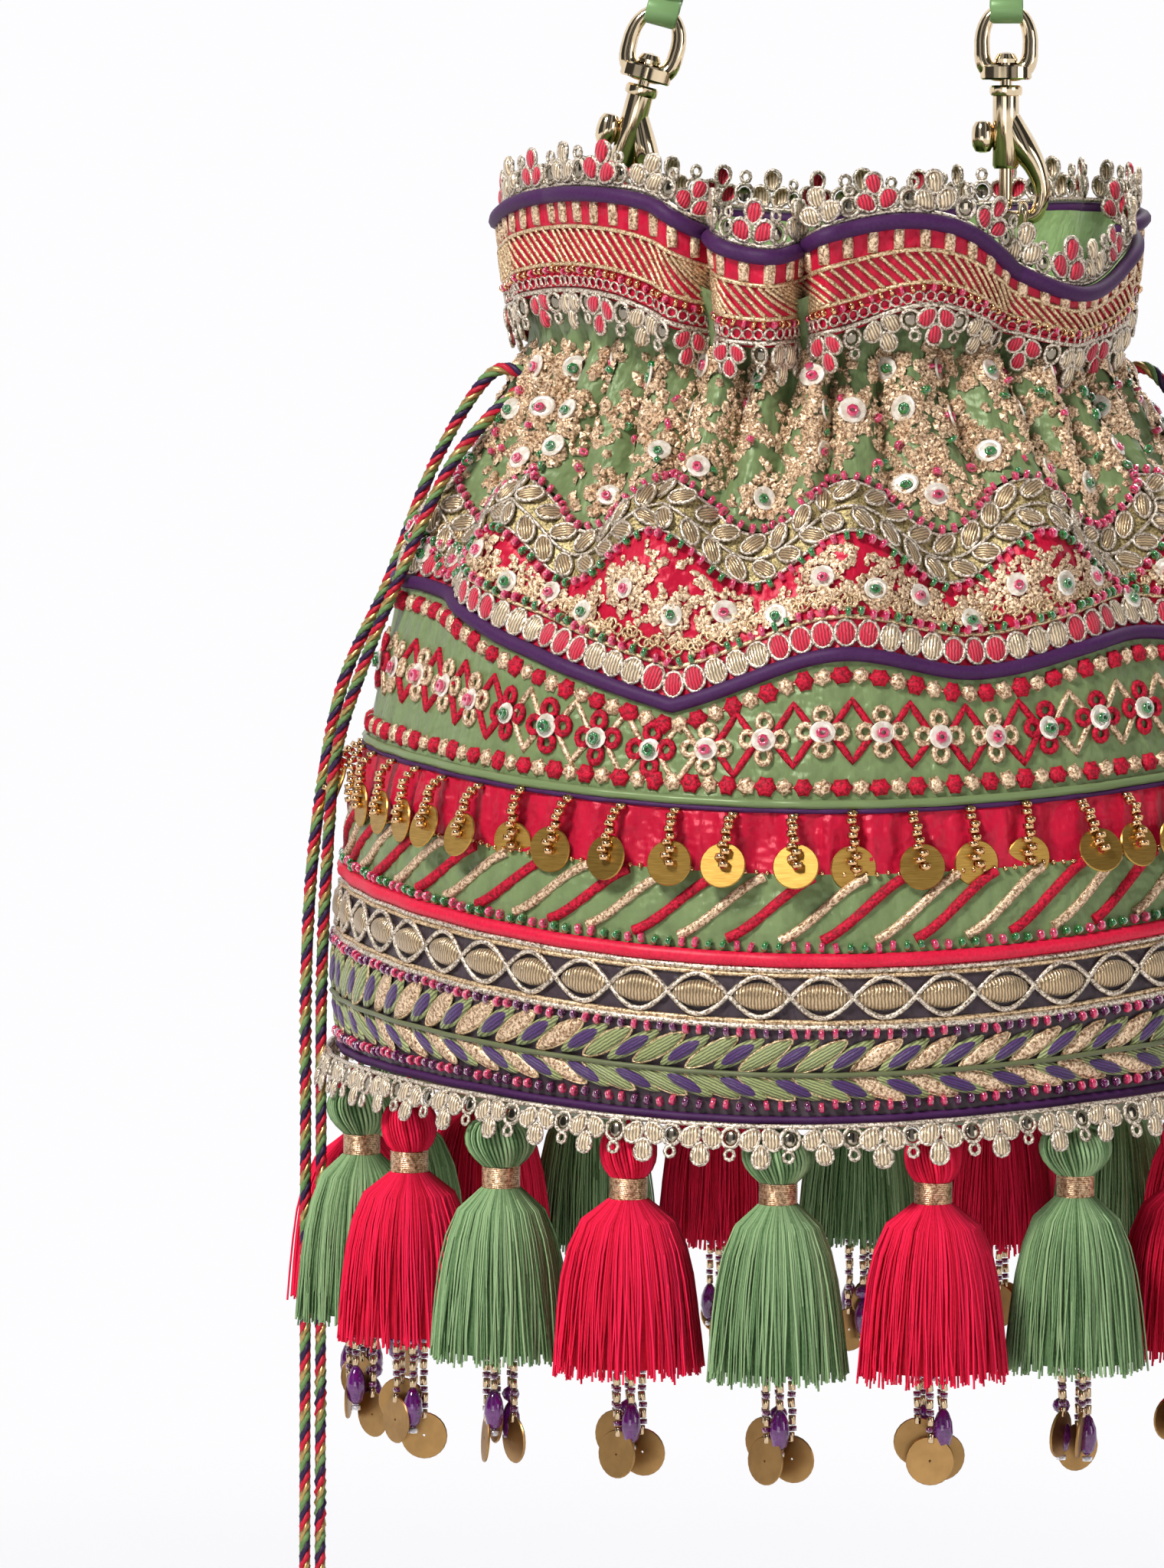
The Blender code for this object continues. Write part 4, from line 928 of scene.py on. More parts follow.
lace("collar_lace_drops", collar_surface, collar_line(1.0), 0.0070, False, (crimson_fill, pale_gold_fill), 0.0005,
     "gold_lace", "collar_lace")
lace("rim_lace_points", collar_surface, lambda a: rim(a) - 0.0022, 0.0066, True, (pale_gold_fill, crimson_fill),
     -0.0010, "gold_lace", "rim_lace", size=1.05)

# The corded seams: satin piping rolled over cord, at the rim, between the shoulder and the diamond
# band, over the braid and along the hem.
purple_satin = yarn_material("purple_satin", srgb(62, 8, 72), 1500, 0.6)
crimson_roll = yarn_material("crimson_roll", srgb(216, 10, 56), 1500, 0.45)


def body_surface(a, d, out=0.0):
    return on_cloth(a, d, out)


for name, surface, line, radius, material, slot, node in (
    ("rim_piping_roll", collar_surface, rim, 0.0018, purple_satin, "purple_piping", "rim_piping"),
    ("wave_piping_roll", body_surface, wave, 0.00165, purple_satin, "purple_piping", "wave_piping"),
    ("crimson_piping_roll", body_surface, crimson_line, 0.0016, crimson_roll, "crimson_satin", "crimson_piping"),
    ("hem_piping_roll", body_surface, under(hem, 0.0008), 0.0010, purple_satin, "purple_piping", "hem_piping"),
):
    put(name, cord_ring(surface, line, radius, material, radius * 0.35, 10, 480), None, "bag", node, slot=slot)

# The gathered neck: sage satin puffed between tight creases, almost covered by gold thread flowers
# with curling stems. The flowers sit on the puffs, each with a sequin and a bead at its heart.


def turned_solid(profile, sides=8, axis="X"):
    """A solid of revolution from pairs of radius and place along its axis."""
    points, faces = [], []
    for radius, at in profile:
        for side in range(sides):
            t = 2 * math.pi * side / sides
            u, v = radius * math.cos(t), radius * math.sin(t)
            points.append((at, u, v) if axis == "X" else ((u, v, at) if axis == "Z" else (v, at, u)))
    for ring in range(len(profile) - 1):
        for side in range(sides):
            after = (side + 1) % sides
            faces.append((ring * sides + side, ring * sides + after,
                          (ring + 1) * sides + after, (ring + 1) * sides + side))
    faces.append(tuple(reversed(range(sides))))
    faces.append(tuple((len(profile) - 1) * sides + side for side in range(sides)))
    return mesh_of(points, faces)


green_bead = glass("green_bead", srgb(20, 122, 50), 0.08, 0.25)
clear_sequin = speckled("clear_sequin", srgb(206, 190, 170), srgb(240, 232, 218), 500, 0.15, 0.12, 0.1, 0.0002,
                        Coat_Weight=1.0, Coat_Roughness=0.04)
sequin = turned_solid([(0.0026, 0.0), (0.0027, 0.0003), (0.0024, 0.0005), (0.0016, 0.0003)], 12, "Z")
tier("neck_cloth", body_surface, lambda a: np.minimum(collar_line(0.55)(a), 0.036), under(scallop, 0.0006),
     sage_satin,
     30, 640, "sage_satin", "neck_panel")
dice = np.random.default_rng(41)
flower_a, flower_d, flower_size = [], [], []
for row, (count, low) in enumerate(((32, 0.0405), (34, 0.0490), (38, 0.0570))):
    for index in range(count):
        a = 360 * (index + 0.5 * (row % 2)) / count + dice.normal(0, 1.6)
        d = low + dice.normal(0, 0.0009)
        if row == 2:
            d = float(scallop(a)) - 0.0068 + dice.normal(0, 0.0008)
        flower_a.append(a)
        flower_d.append(d)
        flower_size.append(dice.uniform(0.85, 1.2))
curl_a = dice.uniform(0, 360, 180)
curl_d = dice.uniform(0.036, 0.0660, 180)


def crust(flowers, curls, top, bottom, spacing, seed, fine, grain=1.0):
    """Granules of gold thread over flowers with petals and over ring-like curls, between two lines."""
    loose = np.random.default_rng(seed)
    radius = 0.080 if top(0.0) < 0.05 else 0.098
    columns = round(2 * math.pi * radius / spacing)
    a, d = np.meshgrid(np.arange(columns) * 360 / columns, np.arange(top(np.arange(360)).min(),
        bottom(np.arange(360)).max(), spacing))
    a = (a + loose.uniform(-0.45, 0.45, a.shape) * 360 / columns).ravel()
    d = (d + loose.uniform(-0.45, 0.45, d.shape) * spacing).ravel()
    inside = (d > top(a)) & (d < bottom(a))
    a, d = a[inside], d[inside]
    filled, lift = np.zeros(len(a), bool), np.zeros(len(a))
    across = cloth_radius(a, d) - 0.001
    for fa, fd, size in flowers:
        x, y = np.radians((a - fa + 180) % 360 - 180) * across, d - fd
        r, turn = np.hypot(x, y), np.arctan2(x, y)
        edge = size * (0.82 + 0.18 * np.cos(6 * turn + fa))
        on = (r < edge) & (np.abs(r - size * 0.42) > 0.00022)
        filled |= on
        lift = np.where(on, np.maximum(lift, 0.0008 * np.sin(np.clip(r / size, 0, 1) * math.pi)), lift)
    for fa, fd, size in curls:
        x, y = np.radians((a - fa + 180) % 360 - 180) * across, d - fd
        filled |= (np.abs(np.hypot(x, y) - size) < 0.0008) & (np.arctan2(x, y) + 0.6 * np.sin(fa) > -2.2)
    x, z = np.radians(a) * 62, d * 780
    scatter = (np.sin(1.15 * x + 1.6 * np.sin(0.5 * z)) * np.sin(0.95 * z + 1.3 * np.sin(0.7 * x))
               + 0.5 * np.sin(2.1 * x - 1.4 * z + np.sin(1.3 * x)))
    filled |= scatter > fine
    lift = np.maximum(lift, 0.0009 * np.clip(scatter - fine, 0, 0.8))
    a, d, lift = a[filled], d[filled], lift[filled]
    size = loose.uniform(0.9, 1.5, (len(a), 1)) * np.array([[1.0, 1.35, 1.0]]) * grain
    return places(body_surface, a, d, lift + 0.0001, loose.uniform(0, 180, len(a)), size)


granule = pads([oval(0.00155, 0.00105, 5)], 0.00055, ((1.0, 0.0),))
neck_flowers = [(a, d, 0.0049 * size) for a, d, size in zip(flower_a, flower_d, flower_size)]
neck_curls = [(a, d, dice.uniform(0.0018, 0.0032)) for a, d in zip(curl_a, curl_d)]
neck_crust = crust(neck_flowers, neck_curls, lambda a: 0.034 + 0 * a, under(scallop, -0.0016), 0.00092, 6, 0.78,
                   1.25)
neck_work = copies(granule, neck_crust, gold_crust, 0.28, 3)
neck_work.shade_flat()
put("neck_embroidery", neck_work, None, "bag", slot="gold_braid")
hearts = np.arange(len(flower_a))
heart_parts = []
for pick, colour, dish in ((hearts % 2 == 0, pink_bead, clear_sequin), (hearts % 2 == 1, green_bead, clear_sequin)):
    fa, fd = np.array(flower_a)[pick], np.array(flower_d)[pick]
    heart_parts.append(copies(sequin, places(body_surface, fa, fd, 0.0014, 0, 1.1), dish, 0.12))
    heart_parts.append(copies(upright_bead, places(body_surface, fa, fd, 0.0023, 0.0, 1.05), colour, 0.2))
extra_a = dice.uniform(0, 360, 150)
extra_d = dice.uniform(0.038, 0.062, 150)
heart_parts.append(copies(bead, places(body_surface, extra_a[::2], extra_d[::2], 0.0016,
                                       dice.uniform(0, 180, 75)), green_bead, 0.3))
heart_parts.append(copies(bead, places(body_surface, extra_a[1::2], extra_d[1::2], 0.0016,
                                       dice.uniform(0, 180, 75)), pink_bead, 0.3))
put("neck_beads", merged(heart_parts), None, "bag", slot="gold_lace")

# The scalloped seam: a line of pink beads, then a braid of wired gold leaves along a stem, then
# beads in pairs of pink and green.
leaf_fill = stitched("leaf_fill", srgb(190, 162, 124), metallic=0.7, roughness=0.3)
leaf_outline = oval(0.0044, 0.0074, 12, 0.0)
leaf = pads([leaf_outline], 0.0011)
leaf_wire = wires([leaf_outline], 0.00055, 4, 1.0)
bead_line("scallop_beads", scallop, (pink_bead,), body_surface, 0.0027, 0.0011)
braid_ground = speckled("braid_ground", srgb(88, 76, 44), srgb(206, 184, 128), 1500, 0.5, 0.45)
tier("leaf_braid_ground", body_surface, under(scallop, 0.0012), under(scallop, 0.0118), braid_ground, 5, 480,
     "gold_braid", out=0.0004)
la, ld, ls = along(body_surface, under(scallop, 0.0064), 0.0033)
side = np.where(np.arange(len(la)) % 2 == 0, 1.0, -1.0)
leaf_spots = places(body_surface, la, ld - side * 0.0029, 0.0006, ls - 90 + side * 42, (0.85, 0.85, 1.1))
put("leaf_braid", merged([
    copies(leaf, leaf_spots, leaf_fill, 0.05), copies(leaf_wire, leaf_spots, silver_gold, 0.05),
    cord_ring(body_surface, under(scallop, 0.0064), 0.00045, silver_gold, 0.0013),
    cord_ring(body_surface, under(scallop, 0.0013), 0.00045, silver_gold, 0.0006),
    cord_ring(body_surface, under(scallop, 0.0116), 0.00045, silver_gold, 0.0006),
]), None, "bag", slot="gold_braid")
bead_line("shoulder_beads_high", under(scallop, 0.0126), (pink_bead, pink_bead, green_bead, green_bead),
          body_surface, 0.0029)

# The crimson shoulder band: gold flowers on curling vines of small rings, with sequins, over a row
# of beads and a braid of ovals that take turns in threes of crimson and gold.
oval_outline = oval(0.0047, 0.0060, 12)
oval_pad, oval_wire = pads([oval_outline], 0.0010), wires([oval_outline], 0.00045)
tier("shoulder_cloth", body_surface, under(scallop, 0.0114), wave, crimson_satin, 12, 480, "crimson_satin",
     "shoulder_band")
mid = lambda a: (scallop(a) + 0.0135 + wave(a) - 0.009) / 2
fa, fd, _ = along(body_surface, mid, 0.0118)
big = np.arange(len(fa)) % 2 == 0
shoulder_parts = []
centre_d = np.where(big, fd - 0.0012, fd + 0.0020)
va, vd, vt = [], [], []
for index in range(len(fa)):
    for step in range(9):
        share = step / 9
        va.append(fa[index] + 360 / len(fa) * share)
        vd.append(float(wave(va[-1])) - 0.0108 - 0.0022 * abs(math.sin(math.pi * share * 2)))
        vt.append(step * 40)
shoulder_parts += [
    copies(granule, crust([(a, d, 0.0064 if wide else 0.0048) for a, d, wide in zip(fa, centre_d, big)],
                          [(a + 2.6, d + s, 0.0024) for a, d in zip(fa, centre_d) for s in (-0.0052, 0.0042)],
                          under(scallop, 0.0142), under(wave, -0.0100), 0.00098, 8, 0.72), gold_crust, 0.35, 4),
    copies(chain_ring, places(body_surface, va, vd, 0.0002, vt, (0.95, 0.95, 1.3)), gold_cord, 0.12),
    cord_ring(body_surface, under(wave, -0.0082), 0.00055, gold_cord, 0.0004),
    copies(sequin, places(body_surface, fa, centre_d, 0.0010), clear_sequin, 0.12),
    copies(upright_bead, places(body_surface, fa[big], centre_d[big], 0.0019), pink_bead, 0.15),
    copies(upright_bead, places(body_surface, fa[~big], centre_d[~big], 0.0019), green_bead, 0.15),
]
put("shoulder_flowers", merged(shoulder_parts), None, "bag", slot="gold_braid")
bead_line("shoulder_beads_low", under(wave, -0.0094), (pink_bead, pink_bead, green_bead, green_bead),
          body_surface, 0.0028)
oa, od, os_ = along(body_surface, under(wave, -0.0046), 0.0050)
threes = np.arange(len(oa)) // 3 % 2 == 0
put("oval_braid", merged([
    copies(oval_pad, places(body_surface, oa[threes], od[threes], 0.0003, os_[threes]), crimson_fill, 0.05),
    copies(oval_pad, places(body_surface, oa[~threes], od[~threes], 0.0003, os_[~threes]), pale_gold_fill, 0.05),
    copies(oval_wire, places(body_surface, oa, od, 0.0004, os_), silver_gold, 0.05),
]), None, "bag", slot="gold_braid")

# The green diamond band: knots in crimson and gold along both edges, and between them groups of
# crimson four-eyelet flowers and of crimson zigzag diamonds with gold eyelets, each round a sequin.
eyelet = wires([oval(0.0030, 0.0032, 10)], 0.00075, 6)
tier("diamond_cloth", body_surface, under(wave, 0.0002), under(diamond_low, 0.0006), sage_satin, 12, 480,
     "sage_satin", "diamond_band")
diamond_parts = []
for line in (under(wave, 0.0046), under(diamond_low, -0.0034)):
    a, d, s = along(body_surface, line, 0.0042)
    odd = np.arange(len(a)) % 2 == 1
    diamond_parts.append(copies(star, places(body_surface, a[odd], d[odd], 0.0, s[odd], (1.3, 1.25, 1.3)),
                                crimson_thread, 0.12))
    diamond_parts.append(copies(star, places(body_surface, a[~odd], d[~odd], 0.0, s[~odd] + 20, 1.15),
                                gold_crust, 0.12))
    diamond_parts.append(cord_ring(body_surface, line, 0.00032, gold_cord, 0.0001, 4))
centre = lambda a: (wave(a) + 0.0008 + diamond_low(a)) / 2
ca, cd, _ = along(body_surface, centre, 0.0133)
group = np.arange(len(ca)) // 4 % 2 == 0
for chosen, work in ((group, gold_crust), (~group, crimson_thread)):
    for turn in (0, 90, 180, 270):
        step = 0.0037
        ea = ca[chosen] + np.degrees(step * math.sin(math.radians(turn)) / 0.106)
        ed = cd[chosen] - step * math.cos(math.radians(turn))
        diamond_parts.append(copies(eyelet, places(body_surface, ea, ed, 0.0001, 0.0, (1.05, 1.05, 1.0)), work,
                                    0.1))
zig = []
for index in range(len(ca)):
    colour = crimson_thread if group[index] else gold_crust
    a0, a1 = ca[index], ca[(index + 1) % len(ca)] + (360 if index == len(ca) - 1 else 0)
    for flip in (-1, 1):
        at = np.linspace(a0 + 0.9, a1 - 0.9, 9)
        share = np.linspace(0, 1, 9)
        lift = 0.0067 * (1 - np.abs(2 * share - 1))
        zig.append((colour, body_surface(at, centre(at) + flip * lift, 0.0002)))
for colour, radius in ((crimson_thread, 0.00085), (gold_crust, 0.00080)):
    diamond_parts.append(threads([path for c, path in zig if c is colour], radius, colour, 5))
diamond_parts += [
    copies(sequin, places(body_surface, ca, cd, 0.0011), clear_sequin, 0.1),
    copies(upright_bead, places(body_surface, ca[group], cd[group], 0.0022, 0.0, 1.15), pink_bead, 0.15),
    copies(upright_bead, places(body_surface, ca[~group], cd[~group], 0.0022, 0.0, 1.15), green_bead, 0.15),
]
put("diamond_embroidery", merged(diamond_parts), None, "bag", slot="gold_braid")
put("diamond_edge", merged([cord_ring(body_surface, under(diamond_low, 0.0002), 0.0011, sage_satin, 0.0003, 6),
                            cord_ring(body_surface, under(diamond_low, 0.0017), 0.0006, purple_satin, 0.0003, 6)]),
    None, "bag", slot="sage_satin")

# The disc fringe: gathered crimson satin behind doubled strands of brown-gold seed beads, each of
# which ends in the hole of a brushed brass disc. No two hang quite alike.
tier("coin_cloth", body_surface, under(diamond_low, 0.0008), under(coin_low, 0.0004), crimson_satin, 10, 1000,
     "crimson_satin", "coin_band")
COINS = 52
coin_metal, nodes, principled = shader("brushed_brass", srgb(176, 132, 56), 0.36, 1.0, Anisotropic=0.5)
place = add_node(nodes, "ShaderNodeTexCoord")
brushed = add_node(nodes, "ShaderNodeTexNoise", Scale=300)
stretch = add_node(nodes, "ShaderNodeMapping", Scale=(1, 1, 14), Vector=place.outputs["Object"])
wire(coin_metal, stretch.outputs["Vector"], brushed.inputs["Vector"])
tone = add_node(nodes, "ShaderNodeValToRGB")
tone.color_ramp.elements[0].color = (*srgb(138, 98, 36), 1)
tone.color_ramp.elements[1].color = (*srgb(212, 172, 92), 1)
wire(coin_metal, brushed.outputs["Fac"], tone.inputs["Fac"])
wire(coin_metal, tone.outputs["Color"], principled.inputs["Base Color"])
coin_a = 360 * (np.arange(COINS) + 0.5) / COINS
sway = np.random.default_rng(12)
coin_turn = sway.normal(0, 7, COINS)
coin_d = diamond_low(coin_a) + 0.0018
disc = ring_solid([(0.0008, -0.0003), (0.0049, -0.0003), (0.0051, 0.0), (0.0049, 0.0003), (0.0008, 0.0003)], 28,
                  "Z")
disc.set_sharp_from_angle(angle=math.radians(35))
disc.transform(Matrix.Translation((0, -0.0122, 0.0)))
strand_beads = bmesh.new()
for index in range(9):
    one = upright_bead.copy()
    one.transform(Matrix.Translation((0.0002 * (-1) ** index * (1 + 1.5 * (index > 4)),
                                      -0.0004 - 0.00148 * index,
                                      0.0006 - 0.0012 * max(0, 2 - index) + 0.0006 * (index > 5)))
                  @ Matrix.Rotation(math.pi / 2 + 0.2 * (-1) ** index, 4, "X") @ Matrix.Scale(1.08, 4))
    strand_beads.from_mesh(one)
strand = bpy.data.meshes.new("strand")
strand_beads.to_mesh(strand)
strand.shade_smooth()
hang = places(body_surface, coin_a, coin_d, 0.0034, coin_turn)
coin_spots = (hang[0], hang[1] + np.stack([np.abs(sway.normal(0, 0.03, COINS)), sway.normal(0, 0.06, COINS),
                                           0 * coin_a],
                                          axis=1), hang[2])
put("coin_fringe_strands", merged([copies(strand, coin_spots, gold_bead), copies(disc, coin_spots, coin_metal)]),
    None, "bag", "coin_fringe", slot="brass_disc")
bead_line("coin_band_beads", under(coin_low, 0.0003), (gold_bead,), body_surface, 0.0024, 0.0006, 0.55)

# The green slanted band: raised stitches that lean to the right, crimson and gold in turn, over a
# line of beads in pairs.
tier("stripe_cloth", body_surface, under(coin_low, 0.0004), crimson_line, sage_satin, 8, 480, "sage_satin",
     "stripe_band")
slant_paths = {0: [], 1: []}
for index in range(66):
    share = np.linspace(0, 1, 12)
    at = 360 * index / 66 + sway.normal(0, 0.4) + 9.8 * share
    high, low = coin_low(at) + 0.0010, crimson_line(at) - 0.0042
    eased = 0.55 * share + 0.45 * share * share * (3 - 2 * share)
    slant_paths[index % 2].append(body_surface(at, low + (high - low) * eased, 0.0004))
put("slanted_stitches", merged([threads(slant_paths[0], 0.00118, crimson_thread, 7),
                                threads(slant_paths[1], 0.00112, gold_crust, 7)]), None, "bag", slot="gold_braid")
bead_line("stripe_beads", under(crimson_line, -0.0029), (pink_bead, pink_bead, green_bead, green_bead),
          body_surface, 0.0031)

# The hem: a braid of gold spindles on dark net between crossing cords, a line of pink and purple
# beads, and a vine of feather leaves in olive, purple and gold about a gold rib.
olive_fill = stitched("olive_fill", srgb(142, 150, 92), roughness=0.5)
purple_fill = stitched("purple_fill", srgb(64, 18, 92), roughness=0.5)
purple_bead = glass("purple_bead", srgb(112, 14, 88), 0.08, 0.3)
spindle = pads([spindle_outline], 0.0018)
tier("hem_cloth", body_surface, crimson_line, under(hem, 0.0), net_cloth, 12, 480, "gold_braid", "hem_band")
braid_centre = under(crimson_line, 0.0081)
ba, bd, bs = along(body_surface, braid_centre, 0.0137)
spindle_spots = places(body_surface, ba, bd, 0.0003, bs)
dense = np.linspace(0, 360, 1201)[:-1]
wavy = []
for flip in (0, 1):
    swing = 0.0044 * np.abs(np.sin(np.radians(dense) * len(ba) / 2 + np.pi / 2)) * (1 if flip else -1)
    wavy.append(body_surface(dense, braid_centre(dense) + swing, 0.0009))
put("spindle_braid", merged([
    copies(spindle, spindle_spots, leaf_fill, 0.03),
    threads(wavy, 0.00062, silver_gold, 5, closed=True),
    cord_ring(body_surface, under(crimson_line, 0.0022), 0.00065, silver_gold, 0.0006),
    cord_ring(body_surface, under(crimson_line, 0.0034), 0.00055, gold_cord, 0.0004),
    cord_ring(body_surface, under(crimson_line, 0.0135), 0.00055, gold_cord, 0.0004),
    cord_ring(body_surface, under(crimson_line, 0.0146), 0.00075, silver_gold, 0.0006),
]), None, "bag", slot="gold_braid")
bead_line("hem_beads_high", under(crimson_line, 0.0160), (pink_bead, pink_bead, purple_bead, purple_bead),
          body_surface, 0.0030)
top_line, low_line = under(crimson_line, 0.0172), under(hem, -0.0036)
rib = lambda a: (top_line(a) * 0.42 + low_line(a) * 0.58)
feather_outline = []
for k in range(18):
    t = 2 * math.pi * k / 18
    feather_outline.append((0.0021 * math.sin(t) * abs(math.sin(t)) ** 0.3, 0.0069 * math.cos(t)))
feather_pad = pads([feather_outline], 0.0011)
feather_heart = pads([[(x * 0.84, y * 0.78) for x, y in feather_outline]], 0.0015)
feather_wire = wires([feather_outline], 0.00036, 4)
ra, rd, rs = along(body_surface, rib, 0.0060)
kinds = np.arange(len(ra)) % 2
blocks = np.arange(len(ra)) // 12 % 2
vine_parts = [cord_ring(body_surface, rib, 0.00060, olive_fill, 0.0013)]
for upper in (True, False):
    height = (rib(ra) - top_line(ra)) if upper else (low_line(ra) - rib(ra))
    lean = np.degrees(np.arccos(np.clip((height - 0.0012) / 0.0130, 0.36, 0.9)))
    wide = np.clip(0.0060 * np.cos(np.radians(lean)) / 0.0036, 0.85, 1.5)
    spots = places(body_surface, ra + 3.0, rd + (-height if upper else height) * 0.51, 0.0003,
                   rs - (lean if upper else 180 - lean), np.stack([wide, np.ones(len(ra)), np.ones(len(ra))],
                       axis=1))
    for chosen, fill in ((kinds == 0, olive_fill), ((kinds == 1) & (blocks == 0), gold_crust),
                         ((kinds == 1) & (blocks == 1), olive_fill)):
        vine_parts.append(copies(feather_pad, tuple(v[chosen] for v in spots), fill, 0.03))
    vine_parts.append(copies(feather_heart, tuple(v[kinds == 0] for v in spots), purple_fill, 0.03))
    vine_parts.append(copies(feather_wire, tuple(v[(kinds == 1)] for v in spots), gold_cord, 0.03))
put("feather_vine", merged(vine_parts), None, "bag", slot="gold_braid")
bead_line("hem_beads_low", under(hem, -0.0024), (pink_bead, pink_bead, purple_bead, purple_bead), body_surface,
          0.0030)
lace("hem_lace_drops", body_surface, under(hem, 0.0018), 0.0064, False, (pale_gold_fill,), 0.0034, "gold_lace",
     "hem_lace", flare=0.26)

# The tassels: twenty rings of yarn, red and green in turn, each bound by gold wire below a combed
# head, with bead strands, brass discs and amethyst drops under the cut ends. One mesh each.
TASSEL_RING, TASSEL_DEPTH, TASSEL_PHASE = 0.109, 0.1986, -5.0
LOOP_LENGTH, WRAP_RADIUS, WRAP_LENGTH, SKIRT_LENGTH = 0.0074, 0.0043, 0.006, 0.037


def yarn(name, dark, bright):
    """Spun yarn: each strand has its own tone, and a fine fibre noise on top lightens some fibres as painted
    highlights.
    """
    material, nodes, principled = shader(name, bright, 0.85, 0.0, Specular_IOR_Level=0.2)
    tone = add_node(nodes, "ShaderNodeAttribute", attribute_name="shade")
    place = add_node(nodes, "ShaderNodeTexCoord")
    fibre = add_node(nodes, "ShaderNodeTexNoise", Scale=1400, Vector=place.outputs["Object"])
    mixed = add_node(nodes, "ShaderNodeMath", operation="MULTIPLY_ADD", in_0=fibre.outputs["Fac"], in_1=0.5,
                     in_2=tone.outputs["Fac"])
    ramp = add_node(nodes, "ShaderNodeValToRGB")
    ramp.color_ramp.elements[0].position, ramp.color_ramp.elements[0].color = 0.15, (*dark, 1)
    ramp.color_ramp.elements[1].position, ramp.color_ramp.elements[1].color = 1.1, (*bright, 1)
    wire(material, mixed.outputs[0], ramp.inputs["Fac"])
    wire(material, ramp.outputs["Color"], principled.inputs["Base Color"])
    return material


# The bright ends are partly the yarn's own lighter strands and partly painted highlight.
red_yarn = yarn("red_yarn", srgb(184, 4, 36), srgb(238, 32, 76))
green_yarn = yarn("green_yarn", srgb(72, 106, 62), srgb(146, 174, 126))
wrap_wire = speckled("wrap_wire", srgb(150, 106, 76), srgb(240, 206, 168), 1500, 0.8, 0.3, 0.3)
bugle = worn_metal("gold_bugle", srgb(210, 184, 148), 0.15, 600)
amethyst = glass("amethyst", srgb(118, 26, 130), 0.05, 0.4)
clear_bead = glass("clear_bead", srgb(225, 222, 228), 0.05, 0.5)
dark_disc = worn_metal("worn_disc", srgb(172, 134, 84), 0.4, 220, 0.2)
skirt_profile = {"red": ((0, 0.0042), (0.0025, 0.0086), (0.007, 0.0115), (0.014, 0.0138), (0.025, 0.0153),
                         (0.037, 0.0161)),
                 "green": ((0, 0.0042), (0.0025, 0.0078), (0.007, 0.0104), (0.014, 0.0125), (0.025, 0.0141),
                           (0.037, 0.0150))}
head_profile = {"red": ((0.0, 0.0012), (0.0008, 0.0042), (0.0028, 0.0058), (0.0058, 0.0062), (0.0088, 0.0056),
                        (0.0110, 0.0040)),
                "green": ((0.0, 0.0012), (0.0007, 0.0050), (0.0026, 0.0073), (0.0055, 0.0080), (0.0084, 0.0068),
                          (0.0110, 0.0042))}


